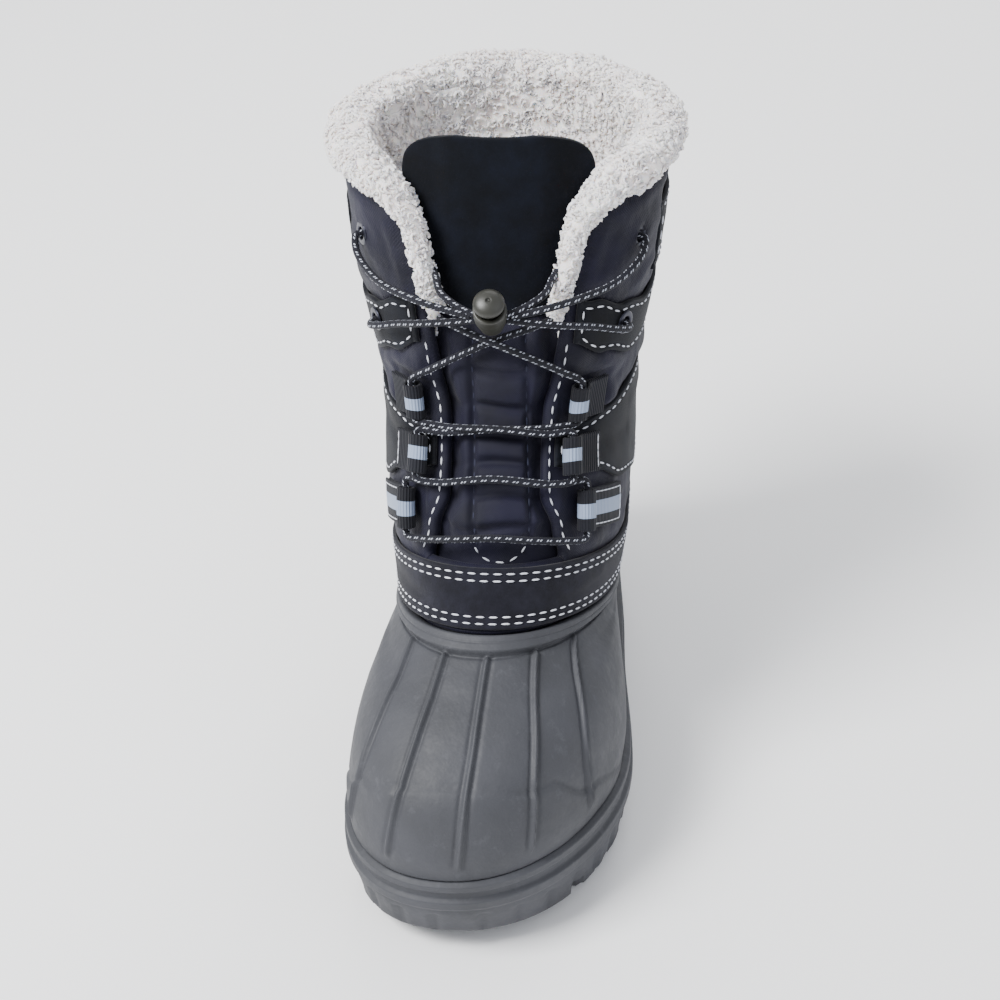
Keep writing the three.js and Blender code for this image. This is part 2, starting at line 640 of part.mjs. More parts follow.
// Cord lock: a barrel with a spring button, on the cords in front of the tongue
const lockAxis = new THREE.Vector3(0.03, -0.55, 0.83).normalize();
const lockAt = above(0, 10.72, 9.5);
const lockTurn = new THREE.Quaternion().setFromUnitVectors(new THREE.Vector3(0, 1, 0), lockAxis);
function onLock(profile, sides) {
  const lathe = new THREE.LatheGeometry(profile.map(([r, h]) => new THREE.Vector2(r, h)), sides);
  return lathe.applyQuaternion(lockTurn).translate(...lockAt.toArray());
}
const barrelRadius = lockDiameter / 2;
const half = lockLength / 2;
add('cord_lock', onLock([[0, -half], [barrelRadius - 1, -half], [barrelRadius, 1 - half],
  [barrelRadius, half], [lockBore / 2, half], [lockBore / 2, half - plungerLength - buttonTravel - 1],
  [0, half - plungerLength - buttonTravel - 1]], 18), hardBlack);
const buttonFoot = half + buttonTravel + fit;
add('lock_button', onLock([[0, buttonFoot - buttonTravel - plungerLength],
  [plungerDiameter / 2, buttonFoot - buttonTravel - plungerLength], [plungerDiameter / 2, buttonFoot],
  [buttonDiameter / 2, buttonFoot], [buttonDiameter / 2, buttonFoot + 0.4 * buttonHeight],
  [0.75 * buttonDiameter / 2, buttonFoot + 0.85 * buttonHeight], [0, buttonFoot + buttonHeight]], 18), hardBlack);

// Upper cords: three on each side, from the lock to the eyelets and to the throat's edge
const lockSide = 0.0143;
const overFleece = 7.6;
const upperStops = [
  [[0.144, 10.08, 4.7], [0.118, 10.22, 5.6], [0.09, 10.38, overFleece], [0.055, 10.55, 9], [lockSide, 10.68, 9.6]],
  [[0.158, 11.28, 3.1], [0.148, 11.1, 3.8], [0.118, 10.95, overFleece], [0.07, 10.9, 9], [lockSide, 10.74, 9.6]],
  [[0.05, 11.15, 0.5], [0.042, 10.98, 5], [lockSide, 10.78, 9.6]],
];
for (const side of bothSides) {
  const cords = upperStops.map((stops) => strand(side.sign > 0 ? stops : mirrored(stops), 10));
  const joined = cords.reduce((all, cord) => all.add(cord));
  add(`lace_upper_${side.name}`, geometryOfSolid(joined), cordYarn);
}

// The origin is at the middle of the boot's bounds, on the ground.
const middle = new THREE.Box3().setFromObject(boot, true).getCenter(new THREE.Vector3());
boot.position.set(-middle.x, -middle.y, 0);
boot.updateMatrixWorld(true);
export default boot;
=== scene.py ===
"""A left winter boot: rubber sole and shell, padded nylon shaft, nubuck overlays, pile collar, elastic cord.

Sizes are millimetres on the boot's own skin, a surface given by turns round the boot and levels up it. Every
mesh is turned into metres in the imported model's frame.
"""

import logging
import math
from dataclasses import dataclass
from enum import Enum

import bmesh
import bpy
import numpy as np
from bpy.types import ID, Material, Mesh, Node, NodeSocket, NodeTree, Object
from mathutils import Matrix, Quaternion, Vector


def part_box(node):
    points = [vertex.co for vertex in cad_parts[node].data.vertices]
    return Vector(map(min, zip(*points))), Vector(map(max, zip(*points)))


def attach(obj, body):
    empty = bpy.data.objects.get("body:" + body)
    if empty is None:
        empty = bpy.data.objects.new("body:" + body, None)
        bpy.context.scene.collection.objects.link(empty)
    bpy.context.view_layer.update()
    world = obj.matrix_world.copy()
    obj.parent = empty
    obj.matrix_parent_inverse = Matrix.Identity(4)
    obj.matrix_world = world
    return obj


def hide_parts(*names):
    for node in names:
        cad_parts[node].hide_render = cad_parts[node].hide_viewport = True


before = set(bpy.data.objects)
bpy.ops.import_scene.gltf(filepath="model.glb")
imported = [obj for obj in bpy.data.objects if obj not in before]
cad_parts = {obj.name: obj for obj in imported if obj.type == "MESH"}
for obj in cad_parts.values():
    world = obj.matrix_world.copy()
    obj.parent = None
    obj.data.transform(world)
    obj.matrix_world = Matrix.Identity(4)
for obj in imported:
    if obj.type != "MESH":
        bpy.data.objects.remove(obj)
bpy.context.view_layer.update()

Array = np.ndarray

LOG = logging.getLogger("boot")
MM = 0.001
BODY = "boot"
UV_NAME = "pattern"
UV_MM = 10.0


class Side(Enum):
    """The two sides of the boot, with the sign of their turns."""

    LATERAL = 1
    MEDIAL = -1

    @property
    def label(self) -> str:
        """The side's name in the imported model."""
        return self.name.lower()


def smoothstep(low, high, x) -> Array:
    """An eased step from 0 at low to 1 at high."""
    t = np.clip((np.asarray(x, float) - low) / (high - low), 0.0, 1.0)
    return t * t * (3.0 - 2.0 * t)


def bump(x, middle: float, half_width: float) -> Array:
    """A soft ridge of height 1 at middle that has died out past half_width."""
    return np.exp(-(((np.asarray(x, float) - middle) / half_width) ** 2))


def eased(rows: list | tuple, x) -> Array:
    """A value read between the rows of a table of (at, value), eased.

    Args:
        rows: pairs of a place and the value there, in rising order.
        x: the places to read.

    Returns:
        The values at x.
    """
    x = np.asarray(x, float)
    out = np.full(x.shape, float(rows[0][1]))
    for (a, value_a), (b, value_b) in zip(rows, rows[1:]):
        out = np.where(x >= a, value_a + (value_b - value_a) * smoothstep(a, b, x), out)
    return out


def crowded(count: int, crowd: float = 0.85) -> Array:
    """Shares from 0 to 1 that lie closer together near both ends, for rounded edges."""
    t = np.linspace(0.0, 1.0, count)
    return t - crowd * np.sin(2.0 * math.pi * t) / (2.0 * math.pi)


def edge_round(distance, radius: float) -> Array:
    """How far a rounded edge has dropped at a distance from the edge, both in millimetres."""
    short = np.clip(radius - np.asarray(distance, float), 0.0, radius)
    return radius - np.sqrt(np.maximum(radius * radius - short * short, 0.0))


def catmull_rom(stops: list, per_span: int) -> Array:
    """A centripetal Catmull-Rom curve through the stops.

    Args:
        stops: points of any dimension.
        per_span: how many points each span between two stops gets.

    Returns:
        The curve's points, the last stop included.
    """
    p = np.asarray(stops, float)
    p = np.vstack([2 * p[0] - p[1], p, 2 * p[-1] - p[-2]])
    out = []
    for a, b, c, d in zip(p, p[1:], p[2:], p[3:]):
        gaps = [max(np.linalg.norm(y - x) ** 0.5, 1e-6) for x, y in ((a, b), (b, c), (c, d))]
        start = ((b - a) / gaps[0] - (c - a) / (gaps[0] + gaps[1]) + (c - b) / gaps[1]) * gaps[1]
        end = ((c - b) / gaps[1] - (d - b) / (gaps[1] + gaps[2]) + (d - c) / gaps[2]) * gaps[1]
        t = (np.arange(per_span) / per_span)[:, None]
        cubic = 2 * b - 2 * c + start + end
        square = -3 * b + 3 * c - 2 * start - end
        out.append(b + start * t + square * t**2 + cubic * t**3)
    return np.vstack([*out, p[-2]])


def distances(points: Array) -> Array:
    """The way along a path up to each of its points."""
    return np.concatenate([[0.0], np.cumsum(np.linalg.norm(np.diff(points, axis=0), axis=1))])


def by_length(points: Array, step: float) -> Array:
    """Points at even distances along a path.

    Args:
        points: the path.
        step: the distance wanted, which is stretched a little so that the path's ends are kept.

    Returns:
        The even points.
    """
    reach = distances(points)
    count = max(2, int(round(reach[-1] / step)) + 1)
    at = np.linspace(0.0, reach[-1], count)
    return np.stack([np.interp(at, reach, points[:, k]) for k in range(points.shape[1])], axis=1)


def unit(vectors: Array) -> Array:
    """The vectors at length 1."""
    return vectors / np.maximum(np.linalg.norm(vectors, axis=-1, keepdims=True), 1e-12)


class Grain:
    """Seeded noise in space, for lumps, wrinkles and pile."""

    @staticmethod
    def hashed(at: Array, seed: int) -> Array:
        """A number from 0 to 1 for each lattice point."""
        ix, iy, iz = np.moveaxis(at, -1, 0)
        key = ix * 73856093 ^ iy * 19349663 ^ iz * 83492791 ^ (seed * 2654435761 & 0x7FFFFFFF)
        key = key & 0xFFFFFFFF
        key = (key ^ (key >> 13)) * 1274126177 & 0xFFFFFFFF
        return ((key ^ (key >> 16)) & 0xFFFFFF) / float(0xFFFFFF)

    @classmethod
    def cloud(cls, points: Array, cell: float, seed: int) -> Array:
        """Smooth noise from -1 to 1 with bumps of the cell's size."""
        scaled = points / cell
        base = np.floor(scaled).astype(np.int64)
        t = scaled - base
        t = t * t * (3 - 2 * t)
        total = np.zeros(points.shape[:-1])
        for corner in range(8):
            step = np.array([corner & 1, corner >> 1 & 1, corner >> 2 & 1])
            weight = np.prod(np.where(step, t, 1 - t), axis=-1)
            total = total + weight * cls.hashed(base + step, seed)
        return 2 * total - 1

    @classmethod
    def clumps(cls, points: Array, cell: float, seed: int) -> Array:
        """Rounded clumps: 1 at the middle of each cell and 0 in the furrows between them."""
        scaled = points / cell
        base = np.floor(scaled).astype(np.int64)
        nearest = np.full(points.shape[:-1], 9.0)
        for step in np.ndindex(3, 3, 3):
            at = base + np.array(step) - 1
            seat = np.stack([cls.hashed(at, seed + k) for k in range(3)], axis=-1)
            nearest = np.minimum(nearest, np.linalg.norm(at + seat - scaled, axis=-1))
        return np.clip(1.0 - nearest**2, 0.0, 1.0)


@dataclass
class BootForm:
    """The boot's outer skin. turn u runs once round from the front by the lateral side; v is the level."""

    sole_length: float = 252.0
    ball_width: float = 103.0
    boot_height: float = 218.0
    lean_degrees: float = 0.6
    roundness: float = 2.15
    toe_skew: float = 1.1
    curve_reach: float = 0.5
    columns: tuple = ("back", "front", "back_height", "front_height", "ball", "waist", "heel",
                      "toe_curve", "nose", "counter", "dip")
    sections: tuple = (
        (0.484, -0.476, 0.135, 0.165, 0.470, 0.385, 0.335, -0.110, 0.30, 0.17, -0.030),
        (0.492, -0.470, 0.185, 0.214, 0.480, 0.388, 0.348, -0.108, 0.31, 0.18, -0.028),
        (0.492, -0.438, 0.229, 0.290, 0.455, 0.384, 0.350, -0.095, 0.33, 0.19, -0.025),
        (0.487, -0.371, 0.266, 0.340, 0.422, 0.380, 0.352, -0.070, 0.36, 0.20, -0.030),
        (0.480, -0.299, 0.300, 0.371, 0.402, 0.380, 0.358, -0.045, 0.40, 0.22, -0.060),
        (0.472, -0.220, 0.340, 0.412, 0.396, 0.392, 0.370, -0.020, 0.44, 0.26, -0.092),
        (0.460, -0.162, 0.420, 0.496, 0.424, 0.420, 0.392, 0.000, 0.46, 0.32, -0.092),
        (0.452, -0.118, 0.500, 0.577, 0.440, 0.440, 0.410, 0.000, 0.48, 0.36, -0.070),
        (0.448, -0.068, 0.585, 0.645, 0.440, 0.443, 0.415, 0.000, 0.50, 0.40, -0.040),
        (0.450, -0.036, 0.670, 0.700, 0.454, 0.458, 0.432, 0.000, 0.50, 0.44, -0.020),
        (0.458, -0.018, 0.775, 0.790, 0.496, 0.502, 0.474, 0.000, 0.50, 0.46, -0.010),
        (0.466, 0.004, 0.885, 0.893, 0.535, 0.542, 0.512, 0.000, 0.50, 0.48, -0.005),
        (0.478, 0.030, 0.990, 0.998, 0.550, 0.557, 0.527, 0.000, 0.50, 0.50, 0.000),
    )
    probe: float = 0.002

    def __post_init__(self) -> None:
        """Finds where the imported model's origin lies, from the insole's box."""
        self.table = np.array(self.sections)
        self.shift = np.zeros(3)
        _, edge, side = self.footprint(28)
        loop = edge + side * Insole.edge
        low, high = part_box("insole")
        middle = (np.array(low) + np.array(high)) / 2 / MM
        self.shift = (middle - (loop.min(0) + loop.max(0)) / 2) * np.array([1.0, 1.0, 0.0])

    def footprint(self, count: int) -> tuple:
        """Turns round the skin's foot, the points there and the level ways out."""
        u = np.arange(count) / count
        return u, self.point(u, 0 * u), unit(self.normal(u, 0 * u) * np.array([1.0, 1.0, 0.0]))

    def value(self, column: str, v) -> Array:
        """One column of the section table between its rows, on a Catmull-Rom curve."""
        rows = self.table[:, self.columns.index(column)]
        last = len(rows) - 1
        v = np.asarray(v, float)
        i = np.clip(np.floor(v).astype(int), 0, last - 1)
        t = v - i
        a, b, c, d = (rows[np.clip(i + k, 0, last)] for k in (-1, 0, 1, 2))
        inside = b + 0.5 * t * (c - a + t * (2 * a - 5 * b + 4 * c - d + t * (3 * (b - c) + d - a)))
        return np.where(v > last, rows[last] + (v - last) * (rows[last] - rows[last - 1]), inside)

    def round_end(self, share) -> Array:
        """How far a loop has opened, from 0 at its tip to 1 where its round end is over."""
        t = 1.0 - np.clip(share, 0.0, 1.0)
        return np.maximum(0.0, 1.0 - t**self.roundness) ** (1.0 / self.roundness)

    def point(self, u, v) -> Array:
        """Points of the skin, in the drawing's own millimetres."""
        u, v = np.broadcast_arrays(np.asarray(u, float), np.asarray(v, float))
        turn = u - np.floor(u)
        side = np.where(turn < 0.5, 1.0, -1.0)
        s = (1.0 - np.cos(2.0 * math.pi * turn)) / 2.0
        curve = self.value("toe_curve", v)
        nose = self.value("nose", v) * (1.0 - side * self.toe_skew * curve)
        counter = self.value("counter", v)
        ball, waist, heel = (self.value(name, v) for name in ("ball", "waist", "heel"))
        to_waist = smoothstep(nose * 0.6, 0.62, s)
        to_heel = smoothstep(0.58, 1.0 - counter * 0.5, s)
        half = ball + (waist - ball) * to_waist + (heel - waist) * to_heel
        half = half * self.round_end(s / nose) * self.round_end((1.0 - s) / counter)
        bend = curve * np.maximum(0.0, 1.0 - s / self.curve_reach) ** 2
        back, front = self.value("back", v), self.value("front", v)
        front_height = self.value("front_height", v)
        rise = (self.value("back_height", v) - front_height) * smoothstep(0.0, 1.0, s)
        dip = self.value("dip", v) * np.sin(math.pi * s)
        x = self.ball_width * (side * half + bend)
        y = self.sole_length * (front + (back - front) * s)
        z = self.boot_height * (front_height + rise + dip)
        return self.leaned(x, y, z)

    def leaned(self, x, y, z) -> Array:
        """The same points after the shaft's small lean to the lateral side."""
        pivot = 0.5 * self.boot_height
        angle = math.radians(self.lean_degrees) * smoothstep(pivot, 0.78 * self.boot_height, z)
        up = z - pivot
        return np.stack([x * np.cos(angle) + up * np.sin(angle), y,
                         pivot + up * np.cos(angle) - x * np.sin(angle)], axis=-1)

    def normal(self, u, v) -> Array:
        """The skin's outward normals."""
        v = np.asarray(v, float)
        across = self.point(np.asarray(u) + self.probe, v) - self.point(np.asarray(u) - self.probe, v)
        up = self.point(u, v + 10 * self.probe) - self.point(u, np.maximum(0.0, v - 10 * self.probe))
        return unit(np.cross(across, up))

    def above(self, u, v, height) -> Array:
        """Points at a height over the skin, along its normal."""
        return self.point(u, v) + self.normal(u, v) * np.asarray(height, float)[..., None]

    def turn_mm(self, u, v) -> Array:
        """How many millimetres one turn is worth at a place."""
        gap = self.point(np.asarray(u) + self.probe, v) - self.point(np.asarray(u) - self.probe, v)
        return np.linalg.norm(gap, axis=-1) / (2 * self.probe)

    def level_mm(self, u, v) -> Array:
        """How many millimetres one level is worth at a place."""
        v = np.asarray(v, float)
        return np.linalg.norm(self.point(u, v + 0.1) - self.point(u, v - 0.1), axis=-1) / 0.2

    def metres(self, points: Array) -> Array:
        """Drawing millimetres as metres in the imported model's frame."""
        return (np.asarray(points) + self.shift) * MM


@dataclass
class Piece:
    """The meshes of one piece, gathered before its object is made."""

    name: str

    def __post_init__(self) -> None:
        """Starts with nothing in it."""
        self.points: list = []
        self.faces: list = []
        self.uvs: list = []
        self.slots: list = []
        self.count = 0

    def add(self, points: Array, faces: list, uvs: list) -> None:
        """Adds one closed body.

        Args:
            points: its points in millimetres.
            faces: its faces as lists of point numbers.
            uvs: for each face, a pair for each of its corners.
        """
        self.points.append(np.asarray(points, float))
        self.faces.extend([[i + self.count for i in face] for face in faces])
        self.uvs.extend(uvs)
        self.slots.extend([0] * len(faces))
        self.count += len(points)

    def build(self, form: BootForm, materials: list, slot: str, replaces: tuple = (),
              body: str = BODY) -> Object:
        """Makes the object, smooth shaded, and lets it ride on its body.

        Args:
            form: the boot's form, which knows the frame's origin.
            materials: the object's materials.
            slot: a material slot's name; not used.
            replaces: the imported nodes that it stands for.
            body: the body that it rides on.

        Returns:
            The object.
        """
        mesh = bpy.data.meshes.new(self.name)
        mesh.from_pydata(form.metres(np.vstack(self.points)).tolist(), [], self.faces)
        layer = mesh.uv_layers.new(name=UV_NAME)
        flat = np.array([pair for face in self.uvs for pair in face], np.float32) / UV_MM
        layer.data.foreach_set("uv", flat.ravel())
        for material in materials:
            mesh.materials.append(material)
        mesh.polygons.foreach_set("material_index", np.array(self.slots, np.int32))
        mesh.shade_smooth()
        mesh.validate()
        obj = placed(self.name, mesh)
        finish_piece(obj, replaces, body)
        return obj


def placed(name: str, data: ID) -> Object:
    """A new object in the scene that holds the data."""
    obj = bpy.data.objects.new(name, data)
    bpy.context.scene.collection.objects.link(obj)
    return obj


def finish_piece(obj: Object, replaces: tuple = (), body: str = BODY) -> None:
    """Gives a piece its body and the nodes that it stands for, and logs it."""
    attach(obj, body)
    if replaces:
        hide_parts(*replaces)
    LOG.info("%s: %d faces", obj.name, len(obj.data.polygons))


def wall(outer: Array, inner: Array, uv: Array, loop: bool) -> tuple:
    """Closes an outer and an inner grid into one wall.

    Args:
        outer: rows by columns of points.
        inner: the same for the other face.
        uv: rows by columns of pairs, with one more column on a loop.
        loop: whether the last column joins the first.

    Returns:
        Points, faces and the faces' pattern coordinates.
    """
    rows, columns = outer.shape[:2]
    size = rows * columns
    spans = columns if loop else columns - 1
    points = np.vstack([outer.reshape(-1, 3), inner.reshape(-1, 3)])
    faces, uvs = [], []

    def put(corners: tuple) -> None:
        """Adds one face from (layer, row, column) corners."""
        faces.append([layer * size + r * columns + c % columns for layer, r, c in corners])
        uvs.append([uv[r, c] for _, r, c in corners])

    for r in range(rows - 1):
        for c in range(spans):
            put(((0, r, c), (0, r, c + 1), (0, r + 1, c + 1), (0, r + 1, c)))
            put(((1, r, c), (1, r + 1, c), (1, r + 1, c + 1), (1, r, c + 1)))
    top = rows - 1
    for c in range(spans):
        put(((1, 0, c), (1, 0, c + 1), (0, 0, c + 1), (0, 0, c)))
        put(((0, top, c), (0, top, c + 1), (1, top, c + 1), (1, top, c)))
    if not loop:
        end = columns - 1
        for r in range(rows - 1):
            put(((1, r, 0), (0, r, 0), (0, r + 1, 0), (1, r + 1, 0)))
            put(((0, r, end), (1, r, end), (1, r + 1, end), (0, r + 1, end)))
    return points, faces, uvs


def tube(rings: Array, lengths: Array) -> tuple:
    """Closes a row of rings into one body with flat ends.

    Args:
        rings: rings by points of a ring, running the right way round about the path.
        lengths: the distance along the path at each ring.

    Returns:
        Points, faces and the faces' pattern coordinates.
    """
    count, sides = rings.shape[:2]
    faces, uvs = [], []
    girth = np.linalg.norm(rings[count // 2, 1] - rings[count // 2, 0]) * sides
    for i in range(count - 1):
        for k in range(sides):
            n = (k + 1) % sides
            faces.append([i * sides + k, i * sides + n, (i + 1) * sides + n, (i + 1) * sides + k])
            low, high = girth * k / sides, girth * (k + 1) / sides
            start, end = lengths[i], lengths[i + 1]
            uvs.append([(start, low), (start, high), (end, high), (end, low)])
    faces.append(list(range(sides))[::-1])
    uvs.append([(lengths[0], 0.0)] * sides)
    faces.append([(count - 1) * sides + k for k in range(sides)])
    uvs.append([(lengths[-1], 0.0)] * sides)
    return rings.reshape(-1, 3), faces, uvs


def round_rings(path: Array, radius: float, sides: int) -> Array:
    """Rings of one radius round a path, turned as little as the path allows."""
    ahead = unit(np.gradient(path, axis=0))
    up = unit(np.cross(ahead[0], np.array([0.3, 0.2, 0.9])))
    rings = []
    angles = 2.0 * math.pi * np.arange(sides) / sides
    for point, way in zip(path, ahead):
        up = unit(up - way * np.dot(up, way))
        across = np.cross(way, up)
        rings.append(point + radius * (np.outer(np.cos(angles), up) + np.outer(np.sin(angles), across)))
    return np.array(rings)


def lathe(profile: list, axis: Array, seat: Array, sides: int) -> tuple:
    """Turns a closed or axis-to-axis profile of (radius, height) about an axis.

    Args:
        profile: the points of the half section, from the foot up the outside.
        axis: the way that height points.
        seat: where height 0 lies.
        sides: faces round.

    Returns:
        Points, faces and the faces' pattern coordinates.
    """
    turn = np.array(Vector((0, 0, 1)).rotation_difference(Vector(axis)).to_matrix())
    points, rows = [], []
    for radius, height in profile:
        if radius < 1e-6:
            rows.append([len(points)] * sides)
            points.append((0.0, 0.0, height))
            continue
        rows.append(list(range(len(points), len(points) + sides)))
        for k in range(sides):
            angle = 2.0 * math.pi * k / sides
            points.append((radius * math.cos(angle), radius * math.sin(angle), height))
    faces, uvs = [], []
    closed = profile[0][0] > 1e-6
    pairs = list(zip(rows, rows[1:])) + ([(rows[-1], rows[0])] if closed else [])
    for r, (low, high) in enumerate(pairs):
        for k in range(sides):
            n = (k + 1) % sides
            face = list(dict.fromkeys([low[k], low[n], high[n], high[k]]))
            if len(face) > 2:
                faces.append(face)
                uvs.append([(k, r)] * len(face))
    return np.array(points) @ turn.T + seat, faces, uvs


def feed(node: Node, inputs: dict) -> None:
    """Gives a node's inputs their values, or links what feeds them.

    Args:
        node: the node.
        inputs: for each input's name or number, a value, a socket, or a node that gives its first output.
    """
    for key, value in inputs.items():
        if isinstance(value, Node):
            value = value.outputs[0]
        if isinstance(value, NodeSocket):
            node.id_data.links.new(value, node.inputs[key])
        else:
            node.inputs[key].default_value = value


def add_node(tree: NodeTree, kind: str, settings: dict | None = None,
             inputs: dict | None = None) -> Node:
    """Adds a node with its settings and links.

    Args:
        tree: the tree to add it to.
        kind: the node's type.
        settings: the node's own properties.
        inputs: what its inputs are fed, as in feed.

    Returns:
        The node.
    """
    node = tree.nodes.new(kind)
    for key, value in (settings or {}).items():
        setattr(node, key, value)
    feed(node, inputs or {})
    return node


def spaced(places: Node, size_mm: float) -> dict:
    """The inputs of a texture with cells of a size in millimetres."""
    return {"Vector": places.outputs["Object"], "Scale": 1.0 / (size_mm * MM)}


def linear(hex_colour: str) -> tuple:
    """An sRGB hex colour as linear red, green, blue and alpha."""
    parts = [int(hex_colour[i:i + 2], 16) / 255.0 for i in (1, 3, 5)]
    return (*[p / 12.92 if p <= 0.04045 else ((p + 0.055) / 1.055) ** 2.4 for p in parts], 1.0)


@dataclass(frozen=True)
class Finish:
    """What all finishes share: a name, two shades that drift into each other, and a grain."""

    name: str
    shade: str
    second_shade: str
    roughness: float
    drift_mm: float = 18.0
    grain_mm: float = 0.8
    grain_depth: float = 0.12
    sheen: float = 0.0
    sheen_roughness: float = 0.5
    metallic: float = 0.0
    specular: float = 0.5

    def build(self) -> Material:
        """Makes the material: its shader's numbers, then what the finish draws.

        Returns:
            The material.
        """
        material = bpy.data.materials.new(self.name)
        material.use_nodes = True
        tree = material.node_tree
        shader = tree.nodes["Principled BSDF"]
        feed(shader, {"Roughness": self.roughness, "Metallic": self.metallic,
                      "Specular IOR Level": self.specular, "Sheen Weight": self.sheen,
                      "Sheen Roughness": self.sheen_roughness})
        self.draw(tree, shader, add_node(tree, "ShaderNodeTexCoord"))
        return material

    def drift(self, tree: NodeTree, places: Node) -> NodeSocket:
        """The base colour: two shades in soft patches."""
        patches = add_node(tree, "ShaderNodeTexNoise", {}, {
            **spaced(places, self.drift_mm), "Detail": 4.0})
        spread = add_node(tree, "ShaderNodeMapRange", {}, {
            "Value": patches, "From Min": 0.35, "From Max": 0.65})
        mix = add_node(tree, "ShaderNodeMix", {"data_type": "RGBA"}, {
            "Factor": spread, 6: linear(self.shade), 7: linear(self.second_shade)})
        return mix.outputs[2]

    def paint(self, shader: Node, places: Node, mask: Node, second: str) -> None:
        """Gives the shader the drifting shades, and a second colour where the mask is."""
        mix = add_node(shader.id_data, "ShaderNodeMix", {"data_type": "RGBA"}, {
            "Factor": mask, 6: self.drift(shader.id_data, places), 7: linear(second)})
        feed(shader, {"Base Color": mix.outputs[2]})

    def lift(self, shader: Node, height: Node, depth_mm: float,
             below: Node | None = None) -> Node:
        """Adds a bump of a depth in millimetres under the shader, over an earlier one if there is one."""
        relief = add_node(shader.id_data, "ShaderNodeBump", {}, {
            "Height": height, "Distance": depth_mm * MM, "Strength": 1.0})
        if below is not None:
            feed(relief, {"Normal": below})
        feed(shader, {"Normal": relief})
        return relief

    def draw(self, tree: NodeTree, shader: Node, places: Node) -> None:
        """The plain finish: drifting shades over a fine grain."""
        feed(shader, {"Base Color": self.drift(tree, places)})
        grain = add_node(tree, "ShaderNodeTexNoise", {}, {
            **spaced(places, self.grain_mm), "Detail": 3.0})
        self.lift(shader, grain, self.grain_depth)


@dataclass(frozen=True)
class MouldedRubber(Finish):
    """Injection-moulded foam rubber, matt from the mould, with scuffs that have turned pale."""

    scuff: str = "#515257"
    scuff_mm: float = 7.0

    def draw(self, tree: NodeTree, shader: Node, places: Node) -> None:
        """Drifting grey with pale rubbed specks and a fine pebble."""
        rubbed = add_node(tree, "ShaderNodeTexNoise", {}, {
            **spaced(places, self.scuff_mm), "Detail": 8.0,
            "Roughness": 0.75})
        where = add_node(tree, "ShaderNodeMapRange", {}, {
            "Value": rubbed, "From Min": 0.56, "From Max": 0.72, "To Max": 0.55})
        self.paint(shader, places, where, self.scuff)
        matt = add_node(tree, "ShaderNodeMapRange", {}, {
            "Value": rubbed, "From Min": 0.3, "From Max": 0.7,
            "To Min": self.roughness - 0.08, "To Max": self.roughness + 0.12})
        feed(shader, {"Roughness": matt})
        pebble = add_node(tree, "ShaderNodeTexVoronoi", {"feature": "SMOOTH_F1"}, {
            **spaced(places, self.grain_mm)})
        fine = self.lift(shader, pebble, self.grain_depth)
        waves = add_node(tree, "ShaderNodeTexNoise", {}, {
            **spaced(places, 9.0), "Detail": 2.0})
        self.lift(shader, waves, 0.5, fine)


@dataclass(frozen=True)
class WovenCloth(Finish):
    """Woven or ribbed textile, drawn from its pattern coordinates with threads of a real pitch."""

    thread_mm: float = 0.9
    thread_depth: float = 0.1
    rib_mm: float = 0.0

    def draw(self, tree: NodeTree, shader: Node, places: Node) -> None:
        """Two crossing waves of thread over the drifting shades, with soft rumples."""
        feed(shader, {"Base Color": self.drift(tree, places)})
        split = add_node(tree, "ShaderNodeSeparateXYZ", {}, {"Vector": places.outputs["UV"]})
        waves = []
        for axis, pitch in (("X", self.thread_mm), ("Y", self.rib_mm or self.thread_mm)):
            turn = add_node(tree, "ShaderNodeMath", {"operation": "MULTIPLY"}, {
                0: split.outputs[axis], 1: 2.0 * math.pi * UV_MM / pitch})
            wave = add_node(tree, "ShaderNodeMath", {"operation": "SINE"}, {0: turn})
            waves.append(wave)
        weave = add_node(tree, "ShaderNodeMath", {"operation": "MULTIPLY_ADD"}, {
            0: waves[0], 1: waves[1], 2: 0.5})
        rumple = add_node(tree, "ShaderNodeTexNoise", {}, {
            **spaced(places, self.grain_mm), "Detail": 3.0})
        soft = self.lift(shader, rumple, self.grain_depth)
        self.lift(shader, weave, self.thread_depth, soft)


@dataclass(frozen=True)
class BrushedHide(Finish):
    """Suede or nubuck: a nap that catches the light, with darker and paler strokes."""

    stroke_mm: float = 3.0

    def draw(self, tree: NodeTree, shader: Node, places: Node) -> None:
        """A fine nap and rubbed strokes on drifting shades."""
        strokes = add_node(tree, "ShaderNodeTexNoise", {}, {
            **spaced(places, self.stroke_mm), "Detail": 6.0,
            "Roughness": 0.7})
        bright = add_node(tree, "ShaderNodeMapRange", {}, {
            "Value": strokes, "From Min": 0.3, "From Max": 0.7, "To Min": 0.65,
            "To Max": 1.5})
        shaded = add_node(tree, "ShaderNodeVectorMath", {"operation": "SCALE"}, {
            0: self.drift(tree, places), "Scale": bright})
        feed(shader, {"Base Color": shaded})
        nap = add_node(tree, "ShaderNodeTexNoise", {}, {
            **spaced(places, self.grain_mm), "Detail": 5.0,
            "Roughness": 0.7})
        self.lift(shader, nap, self.grain_depth)


